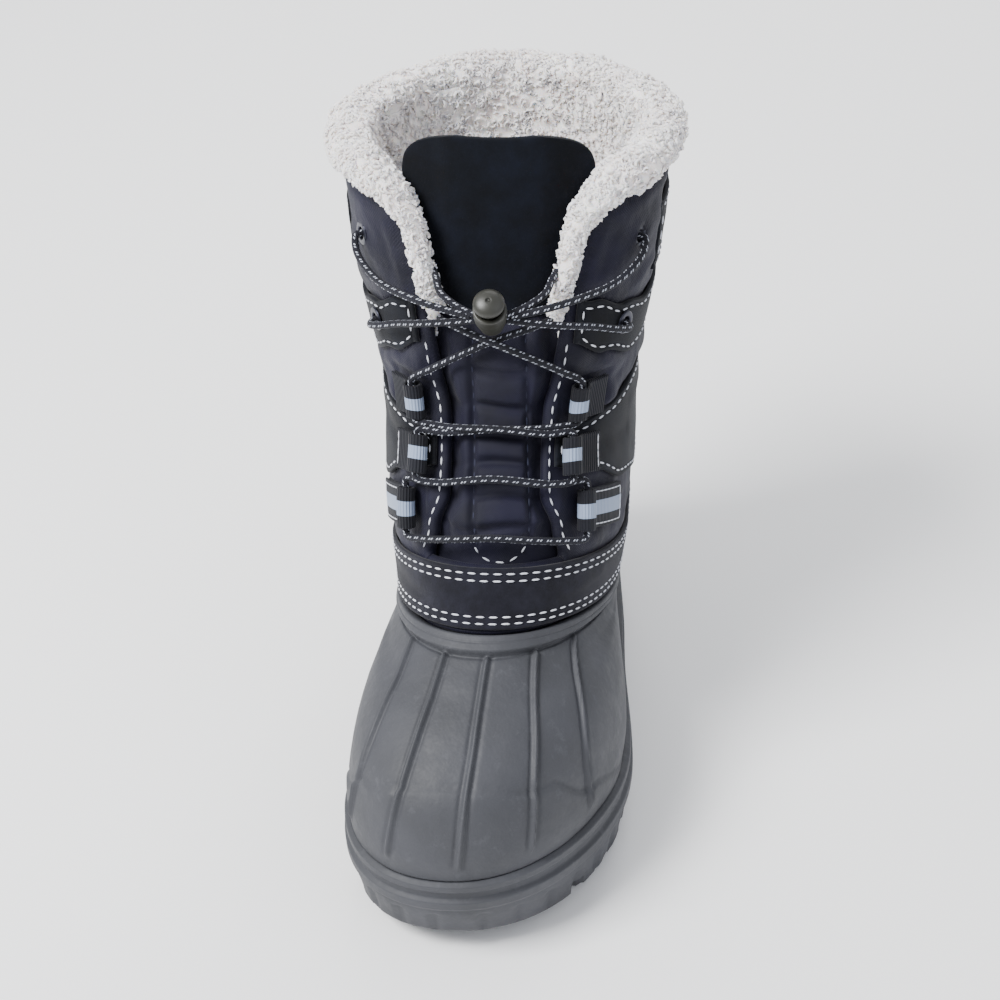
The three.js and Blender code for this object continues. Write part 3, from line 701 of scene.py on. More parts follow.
@dataclass(frozen=True)
class BraidedCord(Finish):
    """Elastic cord in a dark braid, with a pair of pale flecks at every pitch."""

    fleck: str = "#b4b8c4"
    pitch_mm: float = 3.6
    fleck_mm: float = 0.6
    girth_mm: float = 8.2

    def draw(self, tree: NodeTree, shader: Node, places: Node) -> None:
        """The braid's diagonal waves, and flecks that follow the cord."""
        split = add_node(tree, "ShaderNodeSeparateXYZ", {}, {"Vector": places.outputs["UV"]})
        along = add_node(tree, "ShaderNodeMath", {"operation": "MULTIPLY"}, {
            0: split.outputs["X"], 1: UV_MM / self.pitch_mm})
        around = add_node(tree, "ShaderNodeMath", {"operation": "MULTIPLY"}, {
            0: split.outputs["Y"], 1: 2.0 * UV_MM / self.girth_mm * 2.0})
        lean = add_node(tree, "ShaderNodeMath", {"operation": "MULTIPLY_ADD"}, {
            0: around, 1: 0.5, 2: along})
        share = add_node(tree, "ShaderNodeMath", {"operation": "FRACT"}, {0: lean})
        ring = add_node(tree, "ShaderNodeMath", {"operation": "FRACT"}, {0: around})
        masks = []
        half = 0.5 * self.fleck_mm / self.pitch_mm
        for middle in (0.3, 0.62):
            near = add_node(tree, "ShaderNodeMath", {"operation": "COMPARE"}, {
                0: share, 1: middle, 2: half})
            masks.append(near)
        pair = add_node(tree, "ShaderNodeMath", {"operation": "MAXIMUM"}, {0: masks[0], 1: masks[1]})
        facing = add_node(tree, "ShaderNodeMath", {"operation": "COMPARE"}, {
            0: ring, 1: 0.5, 2: 0.16})
        mask = add_node(tree, "ShaderNodeMath", {"operation": "MULTIPLY"}, {
            0: pair, 1: facing})
        self.paint(shader, places, mask, self.fleck)
        heights = []
        for way in (1.0, -1.0):
            slant = add_node(tree, "ShaderNodeMath", {"operation": "MULTIPLY_ADD"}, {
                0: around, 1: way, 2: along})
            turn = add_node(tree, "ShaderNodeMath", {"operation": "MULTIPLY"}, {
                0: slant, 1: 2.0 * math.pi * 2.0})
            wave = add_node(tree, "ShaderNodeMath", {"operation": "SINE"}, {0: turn})
            heights.append(wave)
        braid = add_node(tree, "ShaderNodeMath", {"operation": "MULTIPLY"}, {0: heights[0], 1: heights[1]})
        self.lift(shader, braid, 0.12)


@dataclass(frozen=True)
class StripedWebbing(Finish):
    """Narrow woven webbing with a reflective band woven down its middle."""

    stripe: str = "#8795ad"
    stripe_mm: float = 5.0
    rib_mm: float = 0.9

    def draw(self, tree: NodeTree, shader: Node, places: Node) -> None:
        """Cross ribs on the webbing and a brighter, smoother stripe."""
        split = add_node(tree, "ShaderNodeSeparateXYZ", {}, {"Vector": places.outputs["UV"]})
        band = add_node(tree, "ShaderNodeMath", {"operation": "COMPARE"}, {
            0: split.outputs["Y"], 1: 0.0, 2: 0.5 * self.stripe_mm / UV_MM})
        self.paint(shader, places, band, self.stripe)
        gloss = add_node(tree, "ShaderNodeMapRange", {}, {
            "Value": band, "To Min": self.roughness, "To Max": 0.35})
        feed(shader, {"Roughness": gloss})
        turn = add_node(tree, "ShaderNodeMath", {"operation": "MULTIPLY"}, {
            0: split.outputs["X"], 1: 2.0 * math.pi * UV_MM / self.rib_mm})
        rib = add_node(tree, "ShaderNodeMath", {"operation": "SINE"}, {0: turn})
        self.lift(shader, rib, 0.12)


@dataclass(frozen=True)
class CurledPile(Finish):
    """Sherpa pile: warm white curls that let a little light through, with painted shade greying the hollows
    between curls.
    """

    furrow_shade: str = "#e4d9d5"
    curl_mm: float = 4.2

    def draw(self, tree: NodeTree, shader: Node, places: Node) -> None:
        """Painted shade greys the hollows between curl-sized cells, with a woolly bump over all."""
        curls = add_node(tree, "ShaderNodeTexVoronoi", {"feature": "SMOOTH_F1"}, {
            **spaced(places, self.curl_mm)})
        # painted shade: a greyer colour in the hollows between curl-sized cells, where shade would fall
        furrow_shade_mask = add_node(tree, "ShaderNodeMapRange", {}, {
            "Value": curls, "From Min": 0.35, "From Max": 0.85, "To Max": 0.6})
        self.paint(shader, places, furrow_shade_mask, self.furrow_shade)
        feed(shader, {"Subsurface Weight": 0.45, "Subsurface Radius": (0.004, 0.003, 0.002),
                      "Subsurface Scale": 0.6})
        wool = add_node(tree, "ShaderNodeTexNoise", {}, {
            **spaced(places, self.grain_mm), "Detail": 4.0,
            "Roughness": 0.7})
        self.lift(shader, wool, self.grain_depth)


class Finishes:
    """Every material of the boot."""

    def __init__(self) -> None:
        """Builds them all once."""
        # Foam rubber, moulded: matt, slightly mottled, paler where it has rubbed.
        self.rubber = MouldedRubber("moulded_rubber", "#36373b", "#3e3f44", 0.6, drift_mm=30, grain_mm=1.1,
                                    grain_depth=0.06, specular=0.4).build()
        # Nylon taffeta over padding: a faint sheen and a fine square weave, drawn coarser so that it shows.
        self.nylon = WovenCloth("nylon_taffeta", "#080818", "#0c0b23", 0.7, grain_mm=6, grain_depth=0.7,
                                sheen=0.04, thread_mm=0.95, thread_depth=0.05, specular=0.3).build()
        # Brushed tricot on the upper tongue: soft and almost black.
        self.tricot = BrushedHide("brushed_tricot", "#04060c", "#060912", 0.95, grain_mm=0.7,
                                  grain_depth=0.1, sheen=0.05, stroke_mm=9, specular=0.15).build()
        # Split suede: a raised nap that turns pale where it is stroked.
        self.suede = BrushedHide("split_suede", "#101018", "#191922", 0.92, grain_mm=0.6, grain_depth=0.16,
                                 sheen=0.1, stroke_mm=4, specular=0.2).build()
        # Nubuck: a shorter, tighter nap than suede.
        self.nubuck = BrushedHide("nubuck", "#05060d", "#080b14", 0.85, grain_mm=0.5, grain_depth=0.08,
                                  sheen=0.06, stroke_mm=7, specular=0.25).build()
        # Curled polyester pile.
        self.pile = CurledPile("sherpa_pile", "#fffaf6", "#f7efeb", 0.95, grain_mm=0.9, grain_depth=0.25,
                               sheen=0.5).build()
        # Needled felt on the insole and the lining of the foot.
        self.felt = Finish("needled_felt", "#8f8b88", "#7d7977", 0.98, grain_mm=0.9, grain_depth=0.4,
                           sheen=0.4).build()
        # Braided elastic cord.
        self.cord = BraidedCord("braided_cord", "#0b0c16", "#12131f", 0.7, sheen=0.04, specular=0.3).build()
        # Polyester webbing with a reflective band.
        self.webbing = StripedWebbing("reflective_webbing", "#070810", "#0b0d18", 0.75, sheen=0.04,
                                      specular=0.3).build()
        # The same webbing where it lies without its band.
        self.plain_webbing = StripedWebbing("plain_webbing", "#070810", "#0b0d18", 0.8, sheen=0.04,
                                            specular=0.3, stripe_mm=0.0).build()
        # Moulded acetal, satin from the mould.
        self.plastic = Finish("moulded_acetal", "#24241f", "#2c2c26", 0.4, grain_mm=0.5,
                              grain_depth=0.02).build()
        # Lacquered brass: dark coat with a metal glint.
        self.lacquer = Finish("lacquered_eyelet", "#2b2c36", "#353641", 0.32, grain_mm=1.5, grain_depth=0.02,
                              metallic=0.8).build()
        # Twisted polyester thread.
        self.thread = Finish("twisted_thread", "#d9dbe2", "#c4c7d2", 0.75, grain_mm=0.45, grain_depth=0.2,
                             sheen=0.3).build()
        # Thread in the colour of the cloth.
        self.dark_thread = Finish("navy_thread", "#262a40", "#1d2033", 0.8, grain_mm=0.45,
                                  grain_depth=0.2).build()


@dataclass
class Seam:
    """A row of stitches along stops of (turn, level) on the skin, at one height or one for each stop."""

    stops: list
    height: float | Array
    pitch: float = 4.6


@dataclass
class Stitcher:
    """Lays stitches along seams with Geometry Nodes: one small flattened pad of thread at each point."""

    form: BootForm
    name: str
    material: Material
    slot: str
    width: float = 0.75
    thickness: float = 0.55
    length: float = 3.3

    def __post_init__(self) -> None:
        """Starts with no stitch."""
        self.points: list = []
        self.along: list = []
        self.away: list = []

    def sew(self, seam: Seam) -> None:
        """Adds a seam's stitches."""
        heights = np.broadcast_to(seam.height, len(seam.stops))
        places = catmull_rom([(*stop, height) for stop, height in zip(seam.stops, heights)], 40)
        u, v = places[:, 0], places[:, 1]
        path = self.form.above(u, v, places[:, 2])
        fine = by_length(np.column_stack([path, u, v]), 0.5)
        reach = distances(fine[:, :3])
        count = max(1, int(reach[-1] / seam.pitch))
        at = (np.arange(count) + 0.5) * reach[-1] / count
        even = np.stack([np.interp(at, reach, fine[:, k]) for k in range(5)], axis=1)
        ways = np.stack([np.interp(at, reach, np.gradient(fine[:, k])) for k in range(3)], axis=1)
        self.points.append(even[:, :3])
        self.along.append(unit(ways))
        self.away.append(self.form.normal(even[:, 3], even[:, 4]))

    def tree(self) -> NodeTree:
        """Builds the node tree, with the stitch's sizes as named inputs."""
        tree, given = opened_tree(self.name + "_run", ("Length", "Width", "Thickness"))
        along, away = (add_node(tree, "GeometryNodeInputNamedAttribute", {"data_type": "FLOAT_VECTOR"},
                                {"Name": name}) for name in ("along", "away"))
        up = add_node(tree, "FunctionNodeAlignRotationToVector", {"axis": "Z"}, {
            "Vector": away})
        turned = add_node(tree, "FunctionNodeAlignRotationToVector", {"axis": "X", "pivot_axis": "Z"}, {
            "Rotation": up, "Vector": along})
        ball = add_node(tree, "GeometryNodeMeshUVSphere", {}, {"Segments": 6, "Rings": 6, "Radius": 0.5})
        size = add_node(tree, "ShaderNodeCombineXYZ", {}, {
            "X": given.outputs["Length"], "Y": given.outputs["Width"], "Z": given.outputs["Thickness"]})
        pad = add_node(tree, "GeometryNodeTransform", {}, {
            "Geometry": ball, "Scale": size})
        laid = add_node(tree, "GeometryNodeInstanceOnPoints", {}, {
            "Points": given.outputs["Geometry"], "Instance": pad,
            "Rotation": turned})
        closed_tree(tree, laid, self.material)
        return tree

    def build(self) -> Object:
        """Turns all the stitches into one plain mesh."""
        mesh = bpy.data.meshes.new(self.name + "_points")
        mesh.from_pydata(self.form.metres(np.vstack(self.points)).tolist(), [], [])
        for label, rows in (("along", self.along), ("away", self.away)):
            layer = mesh.attributes.new(label, "FLOAT_VECTOR", "POINT")
            layer.data.foreach_set("vector", np.vstack(rows).astype(np.float32).ravel())
        sizes = {"Length": self.length * MM, "Width": self.width * MM, "Thickness": self.thickness * MM}
        obj = grown(self.name, mesh, self.tree(), sizes)
        finish_piece(obj)
        return obj


def opened_tree(name: str, sizes: tuple) -> tuple:
    """Starts a Geometry Nodes tree.

    Args:
        name: the tree's name.
        sizes: the names of the numbers that it takes.

    Returns:
        The tree and the node that gives its inputs.
    """
    tree = bpy.data.node_groups.new(name, "GeometryNodeTree")
    tree.interface.new_socket("Geometry", in_out="INPUT", socket_type="NodeSocketGeometry")
    for label in sizes:
        tree.interface.new_socket(label, in_out="INPUT", socket_type="NodeSocketFloat")
    tree.interface.new_socket("Geometry", in_out="OUTPUT", socket_type="NodeSocketGeometry")
    return tree, add_node(tree, "NodeGroupInput")


def closed_tree(tree: NodeTree, instances: Node, material: Material) -> None:
    """Ends a tree: its instances become one smooth mesh in one material."""
    real = add_node(tree, "GeometryNodeRealizeInstances", {}, {"Geometry": instances})
    smooth = add_node(tree, "GeometryNodeSetShadeSmooth", {}, {"Geometry": real})
    done = add_node(tree, "GeometryNodeSetMaterial", {}, {
        "Geometry": smooth, "Material": material})
    add_node(tree, "NodeGroupOutput", {}, {"Geometry": done})


def grown(name: str, mesh: Mesh, tree: NodeTree, inputs: dict) -> Object:
    """Runs a Geometry Nodes tree on a mesh and keeps the result as a plain mesh.

    Args:
        name: the new object's name.
        mesh: what the tree starts from.
        tree: the tree.
        inputs: values by the names of the tree's inputs.

    Returns:
        The object that holds the result.
    """
    seed = placed(name + "_seed", mesh)
    modifier = seed.modifiers.new("grow", "NODES")
    modifier.node_group = tree
    for item in tree.interface.items_tree:
        if item.item_type == "SOCKET" and item.in_out == "INPUT" and item.name in inputs:
            modifier[item.identifier] = inputs[item.name]
    graph = bpy.context.evaluated_depsgraph_get()
    made = bpy.data.meshes.new_from_object(seed.evaluated_get(graph), depsgraph=graph)
    made.name = name
    bpy.data.objects.remove(seed)
    return placed(name, made)


def closed_stack(loops: Array, across: int) -> tuple:
    """Closes a stack of loops with a ruled cap at each end.

    Args:
        loops: loops by points, each running once round from the front by the lateral side.
        across: how many strips each cap has across.

    Returns:
        Points, faces and pattern coordinates, in millimetres along and across.
    """
    rows, n = loops.shape[:2]
    points = [loops.reshape(-1, 3)]
    faces = []
    for r in range(rows - 1):
        for c in range(n):
            d = (c + 1) % n
            faces.append([r * n + c, r * n + d, (r + 1) * n + d, (r + 1) * n + c])
    count = rows * n
    for row, up in ((0, False), (rows - 1, True)):
        ring = loops[row]
        grid = np.zeros((n // 2 + 1, across + 1), int)
        for k in range(n // 2 + 1):
            right, left = k, (n - k) % n
            grid[k] = row * n + right
            grid[k, 0] = row * n + left
            if right != left:
                shares = np.linspace(0, 1, across + 1)[1:-1, None]
                points.append(ring[left] + (ring[right] - ring[left]) * shares)
                grid[k, 1:-1] = np.arange(count, count + across - 1)
                count += across - 1
        for k in range(n // 2):
            for j in range(across):
                face = [grid[k, j], grid[k, j + 1], grid[k + 1, j + 1], grid[k + 1, j]]
                face = [int(i) for i in dict.fromkeys(face)]
                if len(face) > 2:
                    faces.append(face if up else face[::-1])
    flat = np.vstack(points)
    return flat, faces, [[(flat[i, 0], flat[i, 1]) for i in face] for face in faces]


@dataclass
class Outsole:
    """The sole unit: a beaded side wall over lugs, with grooves, an arch and toe spring."""

    form: BootForm
    columns: int = 260
    fit: float = 0.3
    toe_spring: float = 9.0
    spring_end: float = 0.26
    lug_depth: float = 5.5
    arch_lift: float = 7.0
    block_mm: float = 13.0
    # Share of the side's height, and how far the side stands out there.
    steps: tuple = ((0.0, -2.5), (0.05, -0.4), (0.10, 0.4), (0.52, 2.0), (0.60, 3.3), (0.70, 3.3),
                    (0.755, 1.7), (0.84, 1.6), (0.89, 2.7), (0.96, 2.6), (1.0, 0.9))

    def lifted(self, points: Array) -> Array:
        """Raises the points that lie in a groove or under the arch.

        Args:
            points: the sole's points.

        Returns:
            The points with the tread cut in.
        """
        length = self.form.sole_length
        x, y, z = points[..., 0], points[..., 1], points[..., 2].copy()
        half = 0.0095 * length
        soft = 0.6

        def cut(distance, target: float) -> None:
            """Raises what lies within a groove's half width to its roof."""
            share = 1.0 - smoothstep(half - soft, half + soft, np.abs(distance))
            np.copyto(z, np.where(z < target, z + (target - z) * share, z))

        for i, share in enumerate(np.linspace(-0.37, -0.03, 6)):
            cut(y - share * length, self.lug_depth + (0.5 * self.toe_spring if i == 0 else 0.0))
        for share in np.linspace(0.24, 0.41, 4):
            cut(y - share * length, self.lug_depth)
        centre = self.form.point(0.0, 0.0)[0] * 0.4
        middle = np.where((y > -0.38 * length) & (y < 0.04 * length), x - centre, 99.0)
        cut(middle, self.lug_depth)
        cut(np.where((y > 0.21 * length) & (y < 0.41 * length), x, 99.0), self.lug_depth)
        low, high = 0.035 * length, 0.155 * length
        rise = (y - low + self.arch_lift) / (2 * self.arch_lift)
        fall = (high + 0.4 * self.arch_lift - y) / (0.4 * self.arch_lift)
        arch = self.arch_lift * np.clip(np.minimum(rise, fall), 0.0, 1.0)
        z = np.maximum(z, arch)
        sipes = 0.9 * bump(np.mod(y, 6.0), 3.0, 0.5) * (z < 3.0) * (np.abs(x) < 60)
        return np.stack([x, y, z + sipes], axis=-1)

    def build(self, finishes: Finishes) -> None:
        """Makes the sole."""
        u, edge, side = self.form.footprint(self.columns)
        s = (1 - np.cos(2 * math.pi * u)) / 2
        bottom = self.toe_spring * np.maximum(0, 1 - s / self.spring_end) ** 2
        top = edge[:, 2] - self.fit
        girth = np.cumsum(np.linalg.norm(np.roll(edge, -1, 0) - edge, axis=1))
        block = np.mod(girth, self.block_mm) / self.block_mm
        proud = smoothstep(0.02, 0.1, block) * (1 - smoothstep(0.82, 0.9, block))
        shares = np.unique(np.concatenate([np.linspace(0, 1, 46), np.linspace(0.5, 1, 34)]))
        loops = []
        for share in shares:
            out = eased(self.steps, share)
            out = out + 1.1 * (proud - 1) * smoothstep(0.04, 0.1, share) * (1 - smoothstep(0.4, 0.46, share))
            ring = edge + side * np.asarray(out)[..., None]
            ring[:, 2] = bottom + share * (top - bottom)
            loops.append(ring)
        points, faces, uvs = closed_stack(np.array(loops), 60)
        piece = Piece("sole_unit")
        piece.add(self.lifted(points), faces, uvs)
        piece.build(self.form, [finishes.rubber], "rubber", ("outsole",))


@dataclass
class Insole:
    """The loose felt insole, with rounded edges and a slightly uneven top."""

    form: BootForm
    edge = -3.9
    wall: float = 5.0

    def build(self, finishes: Finishes) -> None:
        """Makes the insole."""
        _, edge, side = self.form.footprint(160)
        loops = []
        for height in np.linspace(0, 1, 9):
            inset = 1.2 * (2 * height - 1) ** 4
            ring = edge + side * (self.edge - inset)
            ring[:, 2] += self.wall * height + 0.15
            loops.append(ring)
        points, faces, uvs = closed_stack(np.array(loops), 40)
        points[:, 2] += 0.25 * Grain.cloud(points, 9.0, 5) * (points[:, 2] > loops[-1][:, 2].min() - 1)
        piece = Piece("felt_insole")
        piece.add(points, faces, uvs)
        piece.build(self.form, [finishes.felt], "felt", ("insole",))


def pattern(form: BootForm, u: Array, v: Array, scale_v: float) -> Array:
    """Millimetres along and up the skin, for a finish that follows it."""
    turns, levels = u[0], v[:, 0]
    sums = []
    for worth, at in ((form.turn_mm(turns, np.full(turns.shape, scale_v)), turns),
                      (form.level_mm(np.full(levels.shape, 0.25), levels), levels)):
        sums.append(np.concatenate([[0], np.cumsum(0.5 * (worth[1:] + worth[:-1]) * np.abs(np.diff(at)))]))
    return np.stack(np.broadcast_arrays(sums[0][None, :], sums[1][:, None]), axis=-1)


@dataclass
class Shell:
    """The moulded lower: ribs over the toe, a toe guard line, and a rolled rim."""

    form: BootForm
    columns: int = 345
    ribbed: float = 0.15
    wall: float = 3.0
    rim_proud: float = 1.7
    rim_levels: float = 0.32
    rib_proud: float = 1.45
    rib_half: float = 0.8
    rib_start: tuple = (0.5, 0.85)
    rib_end: tuple = (4.62, 4.68)
    groove: float = 0.5
    groove_away: float = 1.7
    guard_step: float = 0.7
    guard_ends: tuple = (0.15, 0.19)
    rim_groove: float = 0.9
    rim_line: float = 0.3
    ribs: tuple = ((-0.103, -0.099, -0.097), (-0.048, -0.043, -0.042), (0.008, 0.012, 0.006),
                   (0.064, 0.072, 0.062), (0.120, 0.124, 0.114))
    guard: tuple = ((0.0, 2.2), (0.02, 2.16), (0.084, 1.76), (0.124, 1.08), (0.184, 0.04))

    def relief(self, u: Array, v: Array) -> Array:
        """Heights of the ribs, the guard line, the rim and the faint waves of the moulding."""
        turn = self.form.turn_mm(u, v)
        level = self.form.level_mm(u, np.maximum(v, 0.11))
        signed = np.where(u > 0.5, u - 1, u)
        fade = smoothstep(*self.rib_start, v) * (1 - smoothstep(*self.rib_end, v))
        height = np.zeros(u.shape)
        for low, middle, top in self.ribs:
            line = eased([[0, low], [2.5, middle], [5, top]], v)
            away = (signed - line) * turn
            height += fade * (self.rib_proud * bump(away, 0, self.rib_half)
                              - self.groove * bump(np.abs(away), self.groove_away, 0.8))
        side = np.abs(signed)
        gap = (v - eased(self.guard, side)) * level
        near = 1 - smoothstep(*self.guard_ends, side)
        step = 1 - smoothstep(-0.9, 0.9, gap)
        height += near * self.guard_step * (step - 0.5 * bump(gap, 1.0, 0.8))
        top = 5 - self.rim_levels
        rim = smoothstep(top - 0.03, top + 0.05, v)
        height += self.rim_proud * rim
        height -= self.rim_groove * bump(v, top - 0.045, 0.04)
        height -= self.rim_line * bump(v, 5 - 0.45 * self.rim_levels, 0.012)
        points = self.form.point(u, v)
        return height + 0.22 * Grain.cloud(points, 26.0, 3) + 0.1 * Grain.cloud(points, 9.0, 4)

    def build(self, finishes: Finishes) -> None:
        """Makes the shell."""
        ribbed = np.linspace(0, self.ribbed, self.columns // 3 + 1)
        plain = np.linspace(self.ribbed, 1 - self.ribbed, self.columns // 3 + 1)[1:-1]
        columns = np.concatenate([ribbed, plain, 1 - ribbed[::-1]])
        rows = np.concatenate([np.linspace(0.02, 4.56, 60), np.linspace(4.58, 5.0, 28)])
        v, u = np.meshgrid(rows, columns, indexing="ij")
        uv = pattern(self.form, u, v, 3.0)
        u, v = u[:, :-1], v[:, :-1]
        to_top = (5.0 - v) * self.form.level_mm(u, v)
        outer = self.relief(u, v) - edge_round(to_top, 1.1)
        inner = -self.wall + edge_round(to_top, 0.9)
        piece = Piece("rubber_shell")
        piece.add(*wall(self.form.above(u, v, outer), self.form.above(u, v, inner), uv, True))
        piece.build(self.form, [finishes.rubber], "rubber", ("shell",))


@dataclass
class Overlay:
    """A flat piece of hide sewn on the shaft, with rounded cut edges and its rows of stitches."""

    name: str
    node: str
    slot: str
    front: float
    foot: list
    head: list
    columns: int = 240
    rows: int = 34
    thickness: float = 1.6
    lift: float = 0.2
    edge_radius: float = 0.7
    head_rows: tuple = (2.2,)
    foot_rows: tuple = (2.2,)
    front_rows: tuple = (2.2,)
    creases: tuple = ()
    groove: float = 0.28
    hole_dip: float = 3.2

    def levels(self, u: Array) -> tuple:
        """The foot's and the head's levels at each turn."""
        from_front = np.minimum(u, 1 - u)
        return eased(self.foot, from_front), eased(self.head, from_front)

    def build(self, form: BootForm, material: Material, stitcher: Stitcher) -> None:
        """Makes the piece and sews it.

        Args:
            form: the boot's form.
            material: its hide.
            stitcher: takes its seams.
        """
        loop = self.front == 0
        if loop:
            columns = np.linspace(0, 1, self.columns + 1)
        else:
            columns = self.front + (1 - 2 * self.front) * crowded(self.columns, 0.9)
        shares = crowded(self.rows, 0.88)
        t, u = np.meshgrid(shares, columns, indexing="ij")
        low, high = self.levels(u)
        v = low + (high - low) * t
        scale = form.level_mm(u, v)
        tall = (high - low) * scale
        edges = [(self.foot_rows, t * tall), (self.head_rows, (1 - t) * tall)]
        if not loop:
            ends = np.minimum(u - self.front, 1 - self.front - u) * form.turn_mm(u, v)
            edges.append((self.front_rows, ends))
        sink, groove = np.zeros(u.shape), np.zeros(u.shape)
        for rows, gap in edges:
            sink = np.maximum(sink, edge_round(gap, self.edge_radius))
            for row in rows:
                groove = np.maximum(groove, self.groove * bump(gap, row, self.edge_radius))
        points = form.point(u, v)
        rough = 0.16 * Grain.cloud(points, 7.0, 11) + 0.22 * Grain.cloud(points, 19.0, 12)
        outer = self.thickness - sink - groove + rough - pits(form, points, self.hole_dip)
        outer = outer + creased(form, u, v, self.creases)
        inner = self.lift - pits(form, points, self.hole_dip)
        uv = pattern(form, u, v, float(np.mean(v)))
        if loop:
            u, v, outer, inner = (a[:, :-1] for a in (u, v, outer, inner))
        piece = Piece(self.name)
        piece.add(*wall(form.above(u, v, outer), form.above(u, v, inner), uv, loop))
        piece.build(form, [material], self.slot, (self.node,))
        self.sew(form, stitcher)

    def sew(self, form: BootForm, stitcher: Stitcher) -> None:
        """Runs the rows of stitches round the piece's edges."""
        height = self.thickness + 0.02
        loop = self.front == 0
        turns = np.linspace(0, 1, 61) if loop else np.linspace(self.front, 1 - self.front, 61)
        low, high = self.levels(turns)
        for rows, levels, sign in ((self.foot_rows, low, 1), (self.head_rows, high, -1)):
            for row in rows:
                inset = sign * row / form.level_mm(turns, levels)
                inner = turns
                if not loop:
                    scale = form.turn_mm(turns, levels)
                    first = self.front + self.front_rows[0] / scale
                    inner = np.clip(turns, first, 1 - first)
                stitcher.sew(Seam(list(zip(inner, levels + inset)), height))
        if loop:
            return
        for row in self.front_rows:
            for edge, sign in ((self.front, 1), (1 - self.front, -1)):
                levels = np.linspace(low[0], high[0], 7)[1:-1]
                inset = sign * row / form.turn_mm(np.full(5, edge), levels)
                stitcher.sew(Seam(list(zip(edge + inset, levels)), height))


@dataclass
class EyeletPlace:
    """Where an eyelet sits: turns from the front, level and how high its seat is over the skin."""

    name: str
    u: float
    v: float
    base: float


EYELETS = (EyeletPlace("low", 0.144, 10.12, 1.6), EyeletPlace("high", 0.157, 11.3, 0.0))


def pits(form: BootForm, points: Array, depth: float) -> Array:
    """How far the cloth dips at the eyelet holes, so that the cord runs in."""
    sunk = np.zeros(points.shape[:-1])
    for place in EYELETS:
        for side in Side:
            centre = form.point(side.value * place.u, place.v)
            away = np.linalg.norm(points - centre, axis=-1)
            sunk = np.maximum(sunk, depth * (1 - smoothstep(1.4, 2.6, away)))
    return sunk


def creased(form: BootForm, u: Array, v: Array, creases: tuple) -> Array:
    """Soft folds at listed places.

    Args:
        form: the boot's form.
        u: turns of the grid.
        v: levels of the grid.
        creases: (u0, v0, u1, v1, half width in mm, height in mm), where a trough has a negative height.

    Returns:
        The height that the folds add.
    """
    signed = np.where(u > 0.5, u - 1, u)
    total = np.zeros(u.shape)
    turn, level = form.turn_mm(u, v), form.level_mm(u, v)
    for u0, v0, u1, v1, half, height in creases:
        along = np.clip(((signed - u0) * (u1 - u0) * turn**2 + (v - v0) * (v1 - v0) * level**2)
                        / ((u1 - u0) ** 2 * turn**2 + (v1 - v0) ** 2 * level**2), 0, 1)
        dx = (signed - u0 - along * (u1 - u0)) * turn
        dy = (v - v0 - along * (v1 - v0)) * level
        ends = np.sqrt(np.maximum(0, 1 - (2 * along - 1) ** 4))
        total += height * np.exp(-(dx**2 + dy**2) / half**2) * ends
    return total


VAMP_BAND = Overlay("suede_band", "vamp_band", "suede", 0.0,
                    [[0, 5.08], [0.5, 5.08]], [[0, 6.0], [0.3, 5.97]],
                    columns=280, rows=30, head_rows=(2.0, 4.4), foot_rows=(2.0, 4.4),
                    creases=((-0.05, 5.5, 0.07, 5.6, 2.2, -0.5), (0.06, 5.45, 0.15, 5.65, 2.0, 0.5),
                             (-0.16, 5.6, -0.07, 5.4, 2.2, -0.4)))
ANKLE_STRAP = Overlay("ankle_overlay", "ankle_strap", "nubuck", 0.068,
                      [[0.06, 7.64], [0.12, 7.4], [0.18, 7.05], [0.28, 6.75], [0.5, 6.6]],
                      [[0.06, 8.2], [0.10, 8.4], [0.14, 8.52], [0.22, 8.76], [0.5, 8.95]],
                      columns=230, rows=40,
                      creases=((0.12, 7.9, 0.2, 7.7, 3.0, -0.7), (-0.2, 8.1, -0.11, 7.8, 3.0, -0.7),
                               (0.2, 8.2, 0.3, 8.1, 4.0, 0.6), (-0.3, 7.9, -0.2, 8.3, 4.0, 0.6)))
COLLAR_BAND = Overlay("collar_overlay", "collar_band", "nubuck", 0.079,
                      [[0.075, 10.08], [0.12, 9.75], [0.18, 9.42], [0.3, 9.3]],
                      [[0.075, 10.72], [0.10, 10.66], [0.145, 10.4], [0.2, 10.2], [0.3, 10.15]],
                      columns=230, rows=30)
BACK_PANEL = Overlay("back_overlay", "back_panel", "nubuck", 0.208, [[0.2, 10.5], [0.5, 10.4]],
                     [[0.2, 11.45], [0.5, 11.4]], columns=130, rows=30)
OVERLAYS = (VAMP_BAND, ANKLE_STRAP, COLLAR_BAND, BACK_PANEL)


@dataclass
class LoopPlace:
    """A webbing loop: turns from the front at its bore, level, tab length, seat and slope."""

    name: str
    v: float
    eye: float
    reach: float
    base: float
    slope: float


LOOPS = (LoopPlace("low", 6.82, 0.100, 24.0, 0.0, 0.005), LoopPlace("middle", 7.82, 0.080, 13.0, 1.6, 0.004),
         LoopPlace("high", 8.97, 0.088, 13.5, 0.0, 0.004))


